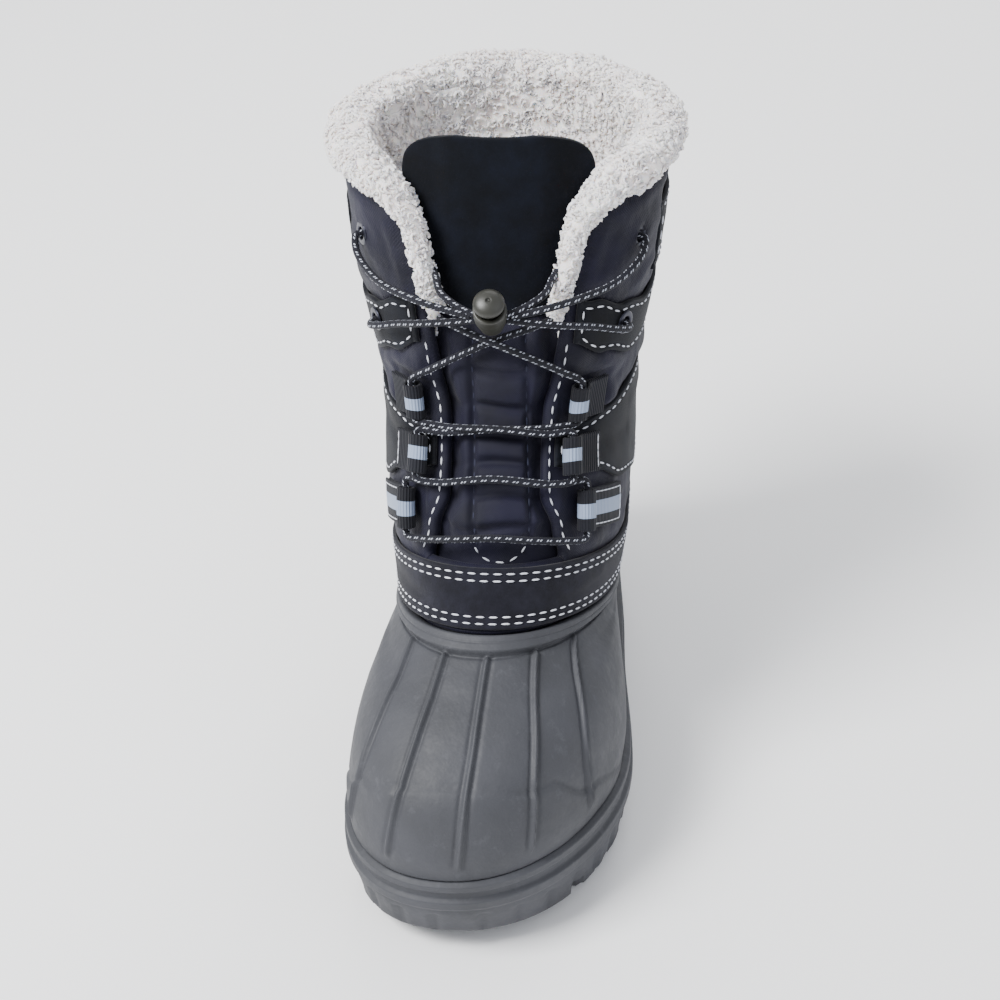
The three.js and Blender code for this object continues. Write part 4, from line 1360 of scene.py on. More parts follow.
@dataclass
class Shaft:
    """The padded nylon shaft, open at the throat and the collar, with the foot's felt lining."""

    form: BootForm
    foot: float = 6.05
    top: float = 12.05
    seat: float = 0.8
    lining: float = 5.6
    seam_inset: float = 2.3
    throat: tuple = ((6.05, 0.086), (6.5, 0.074), (7.2, 0.056), (8.9, 0.056), (9.6, 0.064), (10.4, 0.068),
                     (11.1, 0.075), (11.75, 0.092), (12.0, 0.106), (12.6, 0.15))
    creases: tuple = ((0.09, 9.35, 0.17, 9.05, 2.6, -0.9), (-0.17, 9.1, -0.09, 9.4, 2.6, -0.9),
                      (0.13, 10.75, 0.23, 10.95, 3.2, -0.8), (-0.24, 11.1, -0.13, 10.8, 3.2, -0.8),
                      (0.12, 6.5, 0.2, 6.35, 2.4, -0.7), (-0.2, 6.4, -0.11, 6.6, 2.4, -0.7),
                      (0.2, 9.1, 0.32, 9.0, 3.6, 0.9), (-0.33, 9.05, -0.2, 9.15, 3.6, 0.9),
                      (0.1, 11.0, 0.12, 11.6, 2.4, -0.5), (-0.12, 11.6, -0.1, 11.0, 2.4, -0.5))

    def throat_half(self, v) -> Array:
        """The throat's half opening in turns."""
        return eased(self.throat, v)

    def puff(self, u: Array, v: Array) -> Array:
        """How the padding swells between the overlays, and lies flat under them and under the tabs."""
        heads = [5.97 + 0 * u] + [piece.levels(u)[1] for piece in (ANKLE_STRAP, COLLAR_BAND)]
        feet = [piece.levels(u)[0] for piece in (ANKLE_STRAP, COLLAR_BAND)] + [12.2 + 0 * u]
        swell = np.zeros(u.shape)
        for low, high, depth in zip(heads, feet, (1.2, 2.2, 2.0)):
            t = np.clip((v - low) / np.maximum(high - low, 0.05), 0, 1)
            crown = np.sqrt(np.maximum(0, 4 * t * (1 - t)))
            swell = np.maximum(swell, depth * np.minimum(1.0, 1.35 * crown))
        side = np.minimum(u, 1 - u)
        for place in LOOPS:
            turn = self.form.turn_mm(u, v)
            along = (side - place.eye) * turn
            across = (v - place.v) * self.form.level_mm(u, v)
            near = (1 - smoothstep(place.reach, place.reach + 6, along)) * smoothstep(-9, -4, along)
            swell = swell * (1 - near * (1 - smoothstep(7, 12, np.abs(across))))
        back = smoothstep(0.2, 0.22, side)
        low, high = BACK_PANEL.levels(u)
        under = smoothstep(low - 0.3, low, v) * (1 - smoothstep(high, high + 0.3, v))
        return swell * (1 - back * under)

    def heights(self, u: Array, v: Array, ends: Array) -> tuple:
        """Outer and inner heights, with ends the distance from the cut edge in millimetres."""
        points = self.form.point(u, v)
        free = smoothstep(5.3, 6.1, v)
        tucked = 1 - smoothstep(5.005, 5.045, v)
        swell = self.puff(u, v) * free * smoothstep(0, 7, ends)
        rumple = free * (0.9 * Grain.cloud(points * np.array([1, 1, 1.8]), 13.0, 21)
                         + 0.3 * Grain.cloud(points * np.array([1, 1, 1.6]), 5.0, 22))
        rumple = rumple * np.minimum(1.0, swell)
        round_off = edge_round(ends, 2.2)
        outer = -self.seat - 3.8 * tucked + swell + rumple - round_off - pits(self.form, points, 3.6)
        outer = outer + creased(self.form, u, v, self.creases) * np.minimum(1.0, swell)
        inner = -self.lining - 0.9 * tucked + round_off - pits(self.form, points, 1.0)
        return outer, inner

    def build(self, finishes: Finishes, stitcher: Stitcher) -> None:
        """Makes the shaft, its lining and the stitches along the throat."""
        rows = np.concatenate([np.linspace(3, 4.99, 8), np.linspace(5.0, 5.06, 5), np.linspace(5.1, 6.0, 14),
                               np.linspace(6.05, self.top, 96)])
        shares = crowded(250, 0.86)
        v, t = np.meshgrid(rows, shares, indexing="ij")
        half = self.throat_half(v)
        u = half + (1 - 2 * half) * t
        ends = np.minimum(t, 1 - t) * (1 - 2 * half) * self.form.turn_mm(u, v)
        ends = np.where(v < self.foot, 9.0, ends)
        ends = np.minimum(ends, (self.top - v) * self.form.level_mm(u, v) + 0.2)
        outer, inner = self.heights(u, v, ends)
        piece = Piece("padded_shaft")
        piece.add(*wall(self.form.above(u, v, outer), self.form.above(u, v, inner),
                        pattern(self.form, u, v, 9.0), False))
        rows = np.concatenate([np.linspace(3, 5.0, 6), np.linspace(5.01, 5.06, 4),
                               np.linspace(5.1, self.foot, 20)])
        v, u = np.meshgrid(rows, np.linspace(-0.0865, 0.0865, 60), indexing="ij")
        outer, inner = self.heights(u % 1.0, v, (self.foot - v) * self.form.level_mm(u, v))
        piece.add(*wall(self.form.above(u, v, outer), self.form.above(u, v, inner),
                        pattern(self.form, u, v, 5.0), False))
        piece.build(self.form, [finishes.nylon], "nylon", ("shaft",))
        self.line(finishes)
        levels = np.linspace(6.12, 10.1, 60)
        half = self.throat_half(levels)
        turns = half + self.seam_inset / self.form.turn_mm(half, levels)
        outer, _ = self.heights(turns, levels, np.full(levels.shape, self.seam_inset))
        for side in Side:
            stitcher.sew(Seam(list(zip(side.value * turns, levels)), outer + 0.1))

    def line(self, finishes: Finishes) -> None:
        """Makes the felt lining of the foot."""
        rows = np.linspace(0.4, 10.3, 40)
        v, t = np.meshgrid(rows, np.linspace(0, 1, 101), indexing="ij")
        half = np.where(v < self.foot - 0.3, 0.0, self.throat_half(v) + 0.012)
        u = half + (1 - 2 * half) * t
        outer = -self.lining - 1.2 - 0.9 * (1 - smoothstep(5.0, 5.3, v))
        inner = outer - 1.4 + 0.2 * Grain.cloud(self.form.point(u, v), 8.0, 31)
        piece = Piece("foot_lining")
        piece.add(*wall(self.form.above(u, v, outer), self.form.above(u, v, inner),
                        pattern(self.form, u, v, 6.0), False))
        piece.build(self.form, [finishes.felt], "felt")


@dataclass
class Tongue:
    """The padded tongue: quilted below, brushed tricot above a seam, with gusset folds at both sides."""

    form: BootForm
    shaft: Shaft
    wall: float = 4.2
    tuck: tuple = ((9.3, -6.3), (10.5, -10.4))
    crown: tuple = ((6.14, -6.3), (6.8, -1.2), (9.5, -1.2), (10.7, -9.6))
    width: tuple = ((5.5, 0.105), (6.4, 0.098), (7.2, 0.078), (8.9, 0.078), (10.2, 0.088), (11.2, 0.105),
                    (12.2, 0.121), (13.1, 0.114))
    panel_left: tuple = ((6.0, -0.016), (6.2, -0.021), (10.3, -0.024))
    panel_right: tuple = ((6.0, 0.034), (6.2, 0.042), (10.3, 0.031))
    quilts: tuple = (6.62, 7.2, 7.78, 8.35, 9.05, 9.7)
    foot_seam: tuple = ((-0.024, 6.36), (-0.018, 6.2), (-0.006, 6.1), (0.008, 6.07), (0.022, 6.1),
                        (0.034, 6.2), (0.04, 6.36))
    pillow: float = 0.9
    seam_pull: float = 2.0
    quilt_pull: float = 2.1
    seam: float = 10.42
    top: float = 13.1

    def relief(self, u: Array, v: Array) -> Array:
        """Pillows between the seams of the centre panel and along its sides."""
        signed = np.where(u > 0.5, u - 1, u)
        turn = self.form.turn_mm(u, v)
        level = self.form.level_mm(u, v)
        left = (signed - eased(self.panel_left, v)) * turn
        right = (signed - eased(self.panel_right, v)) * turn
        low = smoothstep(6.2, 6.6, v) * (1 - smoothstep(self.seam - 0.1, self.seam, v))
        line = bump(left, 0, 1.3) + bump(right, 0, 1.3)
        inside = (left > 0) & (right < 0)
        across = np.zeros(u.shape)
        for at in self.quilts:
            sag = 0.05 * np.sin(signed * 60 + at)
            across = np.maximum(across, bump((v - at - sag) * level, 0, 1.6))
        quilt = np.where(inside, across, 0.25 * across)
        points = self.form.point(u, v)
        line = np.minimum(line, 1.0)
        height = low * (self.pillow - self.seam_pull * line - self.quilt_pull * quilt * (1 - line))
        height += 0.5 * Grain.cloud(points, 8.0, 41) * low + 0.25 * Grain.cloud(points, 16.0, 42)
        height -= 0.9 * bump((v - self.seam) * level, 0, 1.2)
        return height

    def build(self, finishes: Finishes, stitcher: Stitcher, dark: Stitcher) -> None:
        """Makes the tongue and its stitches, the quilting in thread of the cloth's colour."""
        rows = np.concatenate([np.linspace(5.5, 10.2, 110), np.linspace(10.23, 12.3, 50),
                               12.3 + (self.top - 12.3) * (1 - (1 - np.linspace(0.05, 1, 24)) ** 2)])
        v, k = np.meshgrid(rows, 2 * crowded(90, 0.5) - 1, indexing="ij")
        half = eased(self.width, v)
        corner = np.sqrt(np.maximum(0.04, 1 - np.clip((v - 12.3) / 0.83, 0, 1) ** 2.7))
        u = k * half * corner
        opening = np.minimum(self.shaft.throat_half(v), 0.07)
        rise = 1 - smoothstep(opening - 0.026, opening - 0.001, np.abs(u))
        tuck = eased(self.tuck, v)
        edge = np.minimum((1 - np.abs(k)) * half * corner * self.form.turn_mm(u, v),
                          (self.top - v) * self.form.level_mm(u, v))
        sink = edge_round(edge, 1.9)
        base = tuck + (eased(self.crown, v) - tuck) * rise
        turned = u % 1.0
        outer = base + self.relief(turned, v) * smoothstep(0, 3, edge) - sink
        inner = base - self.wall + sink
        uv = pattern(self.form, u, v, 9.0)
        piece = Piece("tongue_pad")
        points, faces, uvs = wall(self.form.above(u, v, outer), self.form.above(u, v, inner), uv, False)
        piece.add(points, faces, uvs)
        piece.slots = [1 if v.ravel()[face[0] % v.size] >= self.seam else 0 for face in faces]
        piece.build(self.form, [finishes.nylon, finishes.tricot], "nylon", ("tongue",))
        for line in (self.panel_left, self.panel_right):
            levels = np.linspace(6.3, 10.2, 60)
            turns = eased(line, levels)
            dark.sew(Seam(list(zip(turns, levels)), self.surface(turns, levels)))
        turns, levels = np.array(self.foot_seam).T
        stitcher.sew(Seam(list(self.foot_seam), self.surface(turns, levels) + 0.1))

    def surface(self, turns: Array, levels: Array) -> Array:
        """The height of the tongue's middle panel."""
        return eased(self.crown, levels) + self.relief(turns % 1.0, levels)


@dataclass
class PileCollar:
    """The sherpa roll along the throat and the collar, and the pile that lines the shaft's top."""

    form: BootForm
    shaft: Shaft
    # Turn, level and height of the roll's middle, then its half width and its half height.
    stops: tuple = ((0.060, 10.4, -1.5, 2.4, 3.0), (0.061, 10.75, -1.5, 2.6, 3.4),
                    (0.067, 11.15, -1.8, 2.8, 3.8), (0.075, 11.55, -2, 3.0, 4.4),
                    (0.085, 11.9, -2, 3.4, 5.4), (0.101, 12.14, -2, 4.2, 6.4), (0.13, 12.29, -2, 5.0, 7.4),
                    (0.18, 12.33, -2, 5.6, 8.0), (0.24, 12.32, -2, 6.0, 8.0),
                    (0.31, 12.31, -2, 6.2, 8.0), (0.40, 12.3, -2, 6.4, 8.0), (0.5, 12.3, -2, 6.4, 8.0))
    curl_density: float = 300000.0
    lining_density: float = 250000.0
    shortest: float = 0.7
    longest: float = 1.25
    lock_mm: float = 2.8
    lock_thickness: float = 0.23
    step: float = 0.75
    sides: int = 60
    tip_mm: float = 5.0
    turn_scale: float = 300.0
    level_scale: float = 18.0
    pile_mm: float = 2.0
    lining_foot: float = 10.0
    lining_head: float = 12.2

    def roll(self) -> tuple:
        """The roll's rings, clumped, with their distances along it."""
        other = [(1 - u, *rest) for u, *rest in self.stops[:-1]][::-1]
        scale = np.array([self.turn_scale, self.level_scale, 1, 1, 1])
        route = catmull_rom((np.array([*self.stops, *other]) * scale).tolist(), 30)
        places = by_length(route, self.step) / scale
        u, v, h, wide, high = places.T
        path = self.form.above(u, v, h)
        up = self.form.normal(u, v)
        ahead = unit(np.gradient(path, axis=0))
        across = unit(np.cross(ahead, up))
        up = np.cross(across, ahead)
        reach = distances(path)
        taper = np.sqrt(np.clip(np.minimum(reach, reach[-1] - reach) / self.tip_mm, 0.04, 1))
        angles = 2 * math.pi * np.arange(self.sides) / self.sides
        wide = (wide * taper)[:, None] * np.cos(angles)
        high = (high * taper)[:, None] * np.sin(angles)
        rings = path[:, None] + across[:, None] * wide[..., None] + up[:, None] * high[..., None]
        out = unit(rings - path[:, None])
        lumps = 1.9 * Grain.clumps(rings, 6.2, 51) + 0.9 * Grain.clumps(rings, 3.1, 52)
        lumps += 1.0 * Grain.cloud(rings, 15.0, 53) - 1.9
        rings = rings + out * (lumps * np.clip(taper[:, None] * places[:, 4:5] / 7, 0.3, 1))[..., None]
        return rings[:, ::-1], reach

    def lining(self) -> tuple:
        """The pile inside the collar, up into the roll: its outer and inner face, and its pattern."""
        rows = np.linspace(self.lining_foot, self.lining_head, 42)
        v, t = np.meshgrid(rows, np.linspace(0, 1, 210), indexing="ij")
        half = self.shaft.throat_half(v) + 0.006
        u = half + (1 - 2 * half) * t
        outer = np.full(u.shape, -self.shaft.lining - 0.4)
        points = self.form.point(u, v)
        pile = self.pile_mm + 1.7 * Grain.clumps(points, 6.0, 61) + 0.8 * Grain.clumps(points, 3.0, 62)
        edge = np.minimum(t, 1 - t) * self.form.turn_mm(u, v) + 0.3
        edge = np.minimum(edge, (v - self.lining_foot) * self.level_scale + 0.3)
        inner = outer - pile * smoothstep(0, 5, edge) - 0.3
        return self.form.above(u, v, outer), self.form.above(u, v, inner), pattern(self.form, u, v, 11.0)

    def face_mesh(self, grid: Array) -> Mesh:
        """An open sheet over a grid of points, facing the foot, for the locks to stand on."""
        rows, columns = grid.shape[:2]
        at = np.arange(rows * columns).reshape(rows, columns)
        corners = np.stack([at[:-1, :-1], at[1:, :-1], at[1:, 1:], at[:-1, 1:]], axis=-1).reshape(-1, 4)
        mesh = bpy.data.meshes.new("lining_face")
        mesh.from_pydata(self.form.metres(grid.reshape(-1, 3)).tolist(), [], corners.tolist())
        return mesh

    def curl_tree(self, material: Material) -> NodeTree:
        """A tree that plants small curled locks over a surface."""
        tree, given = opened_tree("curled_locks", ("Density", "Lock Length", "Lock Thickness"))
        spots = add_node(tree, "GeometryNodeDistributePointsOnFaces", {"distribute_method": "RANDOM"}, {
            "Mesh": given.outputs["Geometry"], "Density": given.outputs["Density"], "Seed": 7})
        spiral = add_node(tree, "GeometryNodeCurveSpiral", {}, {
            "Resolution": 9, "Rotations": 0.5, "Start Radius": 0.5, "End Radius": 0.36, "Height": 0.25})
        strand = add_node(tree, "GeometryNodeCurvePrimitiveCircle", {}, {"Resolution": 3})
        girth = add_node(tree, "ShaderNodeCombineXYZ", {}, {
            "X": given.outputs["Lock Thickness"], "Y": given.outputs["Lock Thickness"], "Z": 1.0})
        thin = add_node(tree, "GeometryNodeTransform", {}, {"Geometry": strand, "Scale": girth})
        lock = add_node(tree, "GeometryNodeCurveToMesh", {}, {
            "Curve": spiral, "Profile Curve": thin, "Fill Caps": True})
        turn = add_node(tree, "FunctionNodeRandomValue", {"data_type": "FLOAT_VECTOR"}, {
            "Min": (-0.5, -0.5, -3.1), "Max": (0.5, 0.5, 3.1), "Seed": 3})
        euler = add_node(tree, "FunctionNodeEulerToRotation", {}, {"Euler": turn})
        spin = add_node(tree, "FunctionNodeRotateRotation", {"rotation_space": "LOCAL"}, {
            "Rotation": spots.outputs["Rotation"], "Rotate By": euler})
        vary = add_node(tree, "FunctionNodeRandomValue", {"data_type": "FLOAT"}, {
            2: self.shortest, 3: self.longest, "Seed": 9})
        size = add_node(tree, "ShaderNodeMath", {"operation": "MULTIPLY"}, {
            0: vary.outputs[1], 1: given.outputs["Lock Length"]})
        planted = add_node(tree, "GeometryNodeInstanceOnPoints", {}, {
            "Points": spots, "Instance": lock,
            "Rotation": spin, "Scale": size})
        closed_tree(tree, planted, material)
        return tree

    def build(self, finishes: Finishes) -> None:
        """Makes the roll, the pile lining and their curled locks."""
        tree = self.curl_tree(finishes.pile)
        roll = Piece("pile_roll")
        rings, reach = self.roll()
        roll.add(*tube(rings, reach))
        roll_object = roll.build(self.form, [finishes.pile], "fleece", ("fleece_collar",))
        lining = Piece("pile_lining")
        outer, inner, uv = self.lining()
        lining.add(*wall(outer, inner, uv, False))
        lining.build(self.form, [finishes.pile], "fleece")
        for name, base, density in (("roll_locks", roll_object.data.copy(), self.curl_density),
                                    ("lining_locks", self.face_mesh(inner), self.lining_density)):
            inputs = {"Density": density, "Lock Length": self.lock_mm * MM,
                      "Lock Thickness": self.lock_thickness}
            locks = grown(name, base, tree, inputs)
            finish_piece(locks)


@dataclass
class Eyelet:
    """A rolled and lacquered eyelet with its barrel."""

    form: BootForm
    hole: float = 2.2
    flange: float = 4.3

    def build(self, place: EyeletPlace, side: Side, finishes: Finishes) -> None:
        """Makes one eyelet at its place."""
        seat = place.base + 0.3
        lip = [(self.flange - 0.5 + 0.5 * math.sin(a), seat + 0.45 - 0.45 * math.cos(a))
               for a in np.linspace(0, math.pi, 9)]
        throat = [(self.hole + 0.55 - 0.55 * math.cos(a), seat + 0.35 + 0.65 * math.sin(a))
                  for a in np.linspace(math.pi / 2, 0, 7)]
        foot = place.base - 3.0
        profile = [(self.hole + 0.45, foot), (self.hole + 0.45, seat), *lip, *throat, (self.hole, foot)]
        u = side.value * place.u
        piece = Piece(f"eyelet_ring_{place.name}_{side.label}")
        piece.add(*lathe(profile, self.form.normal(u, place.v), self.form.point(u, place.v), 40))
        piece.build(self.form, [finishes.lacquer], "eyelet_metal", (f"eyelet_{place.name}_{side.label}",))


@dataclass
class WebbingLoop:
    """Doubled webbing that folds round a bore for the cord and is sewn down at its tab."""

    form: BootForm
    width: float = 14.0
    webbing: float = 1.1
    bore: float = 4.4
    lift: float = 0.9
    box_start: float = 3.6
    box_inset: float = 1.4
    box_pitch: float = 2.6

    def centreline(self, reach: float) -> Array:
        """The webbing's middle line in (along, height), from the tab's foot round the bore and back."""
        out = self.bore / 2 + self.webbing
        radius = (self.bore + self.webbing) / 2
        ring = [(-radius * math.cos(math.radians(a)), out + radius * math.sin(math.radians(a)))
                for a in range(-90, 121, 14)]
        half = self.webbing / 2
        top = [(out * 0.95 + 0.6, 3 * half + 0.75), (out + 3.5, 3 * half + 0.05), (reach * 0.6, 3 * half),
               (reach, 3 * half)]
        line = [(reach, half), (reach * 0.5, half), (1.2, half), *ring, *top]
        return by_length(catmull_rom(line, 12), 0.55)

    def build(self, place: LoopPlace, side: Side, finishes: Finishes, stitcher: Stitcher) -> None:
        """Makes one loop and sews its tab."""
        line = self.centreline(place.reach)
        way = unit(np.gradient(line, axis=0))
        out = np.stack([way[:, 1], -way[:, 0]], axis=1)
        turn = float(self.form.turn_mm(side.value * place.eye, place.v))
        level = float(self.form.level_mm(place.eye, place.v))
        widths = (crowded(26, 0.85) - 0.5) * self.width
        reach = distances(line)
        edge = edge_round(self.width / 2 - np.abs(widths), 0.45)
        frayed = edge_round(np.minimum(reach, reach[-1] - reach), 0.45)
        thick = self.webbing / 2 - 0.03 - np.maximum(edge[None, :], frayed[:, None])

        def grid(sign: int) -> Array:
            """One face of the webbing, sign 1 away from the fold and -1 inside it."""
            flat = line[:, None] + sign * out[:, None] * thick[..., None]
            u = side.value * (place.eye + flat[..., 0] / turn)
            v = place.v + widths[None, :] / level - place.slope * np.maximum(0, flat[..., 0])
            return self.form.above(u, v, place.base + self.lift + flat[..., 1])

        uv = np.stack(np.broadcast_arrays(reach[:, None], widths[None, :]), axis=-1)
        piece = Piece(f"webbing_loop_{place.name}_{side.label}")
        points, faces, uvs = wall(grid(-1), grid(1), uv, False)
        piece.add(points, faces, uvs)
        if place.name != "low":
            ring_end = reach[-1] - place.reach + self.bore / 2 + 1.5
            piece.slots = [1 if np.mean([at[0] for at in corners]) > ring_end else 0 for corners in uvs]
        node = f"loop_{place.name}_{side.label}"
        obj = piece.build(self.form, [finishes.webbing, finishes.plain_webbing], "webbing", (node,))
        turned_out(obj)
        near, far = self.bore / 2 + self.box_start, place.reach - self.box_inset
        half = self.width / 2 - self.box_inset
        corners = [(near, -half), (far, -half), (far, half), (near, half), (near, -half)]
        height = place.base + self.lift + 2 * self.webbing
        corners = {"low": corners, "middle": corners[1:3], "high": []}[place.name]
        for (a, low), (b, high) in zip(corners, corners[1:]):
            stops = [(side.value * (place.eye + x / turn), place.v + y / level - place.slope * x)
                     for x, y in ((a, low), ((a + b) / 2, (low + high) / 2), (b, high))]
            stitcher.sew(Seam(stops, height, self.box_pitch))


def turned_out(obj: Object) -> None:
    """Turns a closed piece's faces outwards."""
    shape = bmesh.new()
    shape.from_mesh(obj.data)
    bmesh.ops.recalc_face_normals(shape, faces=shape.faces)
    shape.to_mesh(obj.data)
    shape.free()


@dataclass
class CordLock:
    """The barrel lock on the cords, with its sprung button."""

    form: BootForm
    axis: tuple = (0.03, -0.55, 0.83)
    level: float = 10.72
    height: float = 9.5
    diameter: float = 11.5
    length: float = 14.0
    bore: float = 8.2
    plunger: float = 7.4
    plunger_length: float = 8.0
    button: float = 10.8
    waist: float = 0.7
    button_height: float = 3.2
    travel: float = 3.0
    foot_radius: float = 1.6
    rib: float = 0.3
    lip: float = 0.6
    sides: int = 56

    def build(self, finishes: Finishes) -> None:
        """Makes the barrel and the button on one axis."""
        axis = unit(np.array(self.axis))
        seat = self.form.above(0.0, self.level, np.array(self.height))
        half, radius = self.length / 2, self.diameter / 2
        floor = half - self.plunger_length - self.travel - 1
        narrow = radius * self.waist
        soft = self.foot_radius
        foot = [(narrow - soft + soft * math.sin(a), -half + soft - soft * math.cos(a))
                for a in np.linspace(0, 1.5, 8)]
        ribs = [(narrow + (radius - narrow) * (i + 1) / 8 - self.rib * (i % 2), -half + 2.0 + 0.9 * i)
                for i in range(8)]
        lip, hole = self.lip, self.bore / 2
        mouth = [(radius - lip + lip * math.cos(a), half - lip + lip * math.sin(a))
                 for a in np.linspace(0, 1.57, 6)]
        inside = [(hole + 0.35, half), (hole, half - 0.4), (hole, floor), (0.0, floor)]
        outline = [(0.0, -half), *foot, *ribs, (radius, half - 3.6), *mouth, *inside]
        barrel = Piece("cord_lock_barrel")
        barrel.add(*lathe(outline, axis, seat, self.sides))
        barrel.build(self.form, [finishes.plastic], "plastic", ("cord_lock",))
        base = half + self.travel + 0.3
        rim = self.button / 2
        dome = [(rim * math.cos(a), base + 0.3 + (self.button_height - 0.3) * math.sin(a))
                for a in np.linspace(0.12, 1.45, 14)]
        dish = [(0.9, base + self.button_height - 0.1), (0.0, base + self.button_height - 0.2)]
        stem = self.plunger / 2
        end = base - self.travel - self.plunger_length
        shape = [(0.0, end), (stem - 0.4, end), (stem, end + 0.4), (stem, base), (rim - 0.4, base),
                 (rim, base + 0.3), *dome[1:], *dish]
        button = Piece("cord_lock_button")
        button.add(*lathe(shape, axis, seat, self.sides))
        button.build(self.form, [finishes.plastic], "plastic", ("lock_button",), "button")


@dataclass
class Lace:
    """One elastic cord: from the lock through the eyelets and the loops, across the bar and back up."""

    form: BootForm
    diameter: float = 2.6
    cord_height: float = 2.4
    over_fleece: float = 6.0
    lock_side: float = 0.0143
    loop_steps: tuple = (-0.46, -0.2, 0.2, 0.46)
    turn_scale: float = 330.0
    level_scale: float = 18.0
    step: float = 0.8
    sides: int = 12

    def half(self, over: bool) -> list:
        """Stops of (turn, level, height) from the bar's middle to the lock, starting laterally.

        Args:
            over: whether this half lies on top where the two cross.

        Returns:
            The stops.
        """
        flat = self.cord_height
        eye = 0.9 + 4.4 / 2 + 1.1
        rise = (1.7, -1.1) if over else (-1.1, 1.7)
        low, middle, high = LOOPS

        def through(place: LoopPlace, side: int) -> list:
            """The stops that carry the cord through a loop."""
            return [(side * place.eye, place.v + step, place.base + eye) for step in self.loop_steps]

        return [
            (0.0, 6.5, flat), (0.04, 6.44, flat), (0.078, 6.36, flat + 0.5), *through(low, 1),
            (0.07, 7.32, flat + 0.5), (0.0, 7.48, flat + rise[0]), (-0.06, 7.34, flat + 1),
            *through(middle, -1),
            (-0.055, 8.34, flat + 1), (0.0, 8.56, flat + rise[1]), (0.06, 8.5, flat + 0.6),
            *through(high, 1),
            (0.062, 9.72, flat + 0.6), (0.0, 10.27, flat + rise[0]), (-0.03, 10.45, flat),
            (-0.05, 10.5, 0.0), (-0.062, 10.42, -5.0), (-0.085, 10.28, -7.6), (-0.118, 10.15, -7.8),
            (-0.138, 10.12, -6.2), (-0.144, 10.12, -3.0), (-0.144, 10.12, 1.2), (-0.1435, 10.1, 4.2),
            (-0.136, 10.12, 6.0), (-0.118, 10.22, 6.4), (-0.09, 10.38, self.over_fleece),
            (-0.055, 10.55, 9.0),
            (-self.lock_side, 10.68, 9.6), (0.0, 10.72, 9.6), (self.lock_side, 10.78, 9.6),
            (0.042, 10.98, 5.0), (0.052, 11.12, 0.0), (0.066, 11.22, -5.0), (0.09, 11.3, -8.2),
            (0.125, 11.32, -8.6), (0.149, 11.3, -7.0), (0.157, 11.3, -3.4), (0.157, 11.3, 0.6),
            (0.1565, 11.28, 3.2), (0.148, 11.16, 4.8), (0.118, 10.98, self.over_fleece), (0.07, 10.9, 9.0),
            (self.lock_side, 10.74, 9.6),
        ]

    def build(self, finishes: Finishes) -> None:
        first = [(-u, v, h) for u, v, h in self.half(False)][::-1]
        stops = np.array([*first[:-1], *self.half(True)])
        scale = np.array([self.turn_scale, self.level_scale, 1])
        places = catmull_rom((stops * scale).tolist(), 24) / scale
        path = self.form.above(places[:, 0], places[:, 1], places[:, 2])
        path = by_length(path, self.step)
        rings = round_rings(path, self.diameter / 2, self.sides)
        reach = distances(path)
        piece = Piece("elastic_lace")
        piece.add(*tube(rings, reach))
        nodes = ("lace_lower", "lace_upper_lateral", "lace_upper_medial")
        obj = piece.build(self.form, [finishes.cord], "cord", nodes)
        turned_out(obj)
        line = self.form.metres(path)
        LOG.info("lace is %.3f m long", reach[-1] * MM)


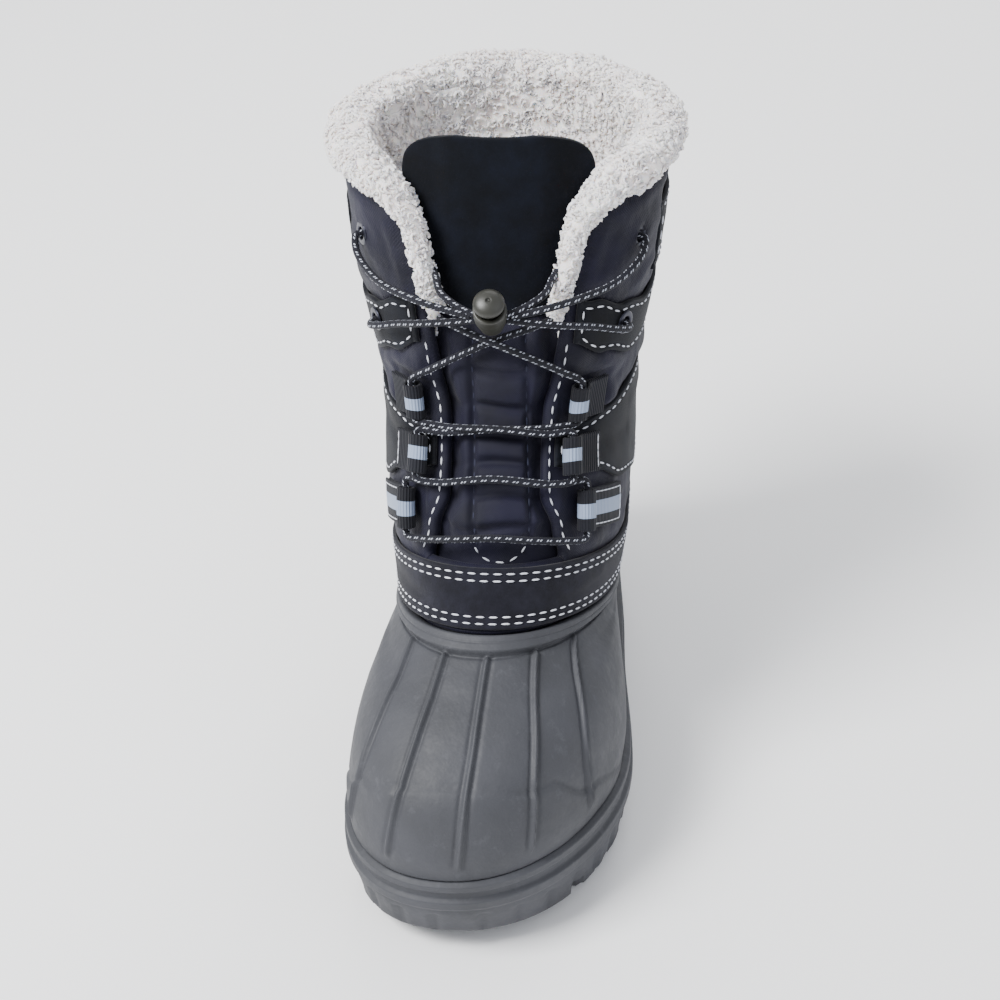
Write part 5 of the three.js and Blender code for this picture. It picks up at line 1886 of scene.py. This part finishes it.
@dataclass
class Studio:
    """A pale floor, soft light from above and in front, and the camera at the photograph's angle."""

    form: BootForm
    focal_px: float = 1900.0
    picture_px: float = 1000.0
    boot_px: tuple = (346.0, 511.0)
    azimuth: float = 1.4
    elevation: float = 35.9
    eye_mm: tuple = (68.9, -557.0, 516.9)
    # Name, place in metres, size in metres, watts and colour of each lamp.
    lamps: tuple = (("key", (-0.9, -0.5, 1.4), 0.7, 52.0, "#ffffff"),
                    ("fill", (1.1, -0.7, 1.0), 1.2, 4.0, "#e8eeff"),
                    ("rear", (0.1, 1.2, 1.1), 1.0, 14.0, "#ffffff"))
    sky: float = 0.95

    def camera(self) -> None:
        """Places the camera where the photograph was taken and turns it to the boot's middle."""
        data = bpy.data.cameras.new("camera")
        data.sensor_width = 36.0
        data.lens = self.focal_px * data.sensor_width / self.picture_px
        data.clip_start = 0.01
        camera = placed("camera", data)
        a, e = math.radians(self.azimuth), math.radians(self.elevation)
        back = Vector((math.sin(a) * math.cos(e), -math.cos(a) * math.cos(e), math.sin(e)))
        straight = (-back).to_track_quat("-Z", "Y")
        across = math.atan((self.picture_px / 2 - self.boot_px[0]) / self.focal_px)
        down = math.atan((self.boot_px[1] - self.picture_px / 2) / self.focal_px)
        turn = Quaternion((0, 1, 0), across) @ Quaternion((1, 0, 0), -down)
        camera.rotation_mode = "QUATERNION"
        camera.rotation_quaternion = straight @ turn
        camera.location = self.form.metres(np.array(self.eye_mm)).tolist()
        bpy.context.scene.camera = camera

    def lamp(self, name: str, place: tuple, size: float, watts: float, shade: str) -> None:
        """Adds a soft square lamp that looks at the boot."""
        data = bpy.data.lights.new(name, "AREA")
        data.size = size
        data.energy = watts
        data.color = linear(shade)[:3]
        lamp = placed(name, data)
        lamp.location = place
        lamp.rotation_mode = "QUATERNION"
        lamp.rotation_quaternion = (Vector((0, 0, 0.1)) - Vector(place)).to_track_quat("-Z", "Y")

    def build(self) -> None:
        """Sets floor, lights and sky."""
        mesh = bpy.data.meshes.new("floor")
        reach = 6.0
        corners = [(-reach, -reach, 0), (reach, -reach, 0), (reach, reach, 0), (-reach, reach, 0)]
        mesh.from_pydata(corners, [], [(0, 1, 2, 3)])
        floor = placed("floor", mesh)
        mesh.materials.append(Finish("pale_floor", "#fafafa", "#f7f7f7", 0.9, drift_mm=900, grain_mm=3,
                                     grain_depth=0.01).build())
        for lamp in self.lamps:
            self.lamp(*lamp)
        world = bpy.data.worlds.new("sky")
        world.use_nodes = True
        feed(world.node_tree.nodes["Background"], {"Color": linear("#eef0f4"), "Strength": self.sky})
        bpy.context.scene.world = world


def main() -> None:
    """Builds the boot piece by piece, then the studio round it."""
    logging.basicConfig(level=logging.INFO, format="%(name)s: %(message)s")
    form = BootForm()
    studio = Studio(form)
    studio.camera()
    finishes = Finishes()
    Lace(form).build(finishes)
    pale = Stitcher(form, "pale_stitches", finishes.thread, "nylon")
    dark = Stitcher(form, "dark_stitches", finishes.dark_thread, "nylon", 0.7, 0.5)
    box = Stitcher(form, "box_stitches", finishes.thread, "webbing", 0.5, 0.4)
    Outsole(form).build(finishes)
    Insole(form).build(finishes)
    Shell(form).build(finishes)
    shaft = Shaft(form)
    shaft.build(finishes, pale)
    for overlay in OVERLAYS:
        overlay.build(form, finishes.suede if overlay.slot == "suede" else finishes.nubuck, pale)
    Tongue(form, shaft).build(finishes, pale, dark)
    PileCollar(form, shaft).build(finishes)
    for side in Side:
        for eyelet_place in EYELETS:
            Eyelet(form).build(eyelet_place, side, finishes)
        for loop_place in LOOPS:
            WebbingLoop(form).build(loop_place, side, finishes, box)
    CordLock(form).build(finishes)
    for stitcher in (pale, dark, box):
        stitcher.build()
    studio.build()


if __name__ == "__main__":
    main()
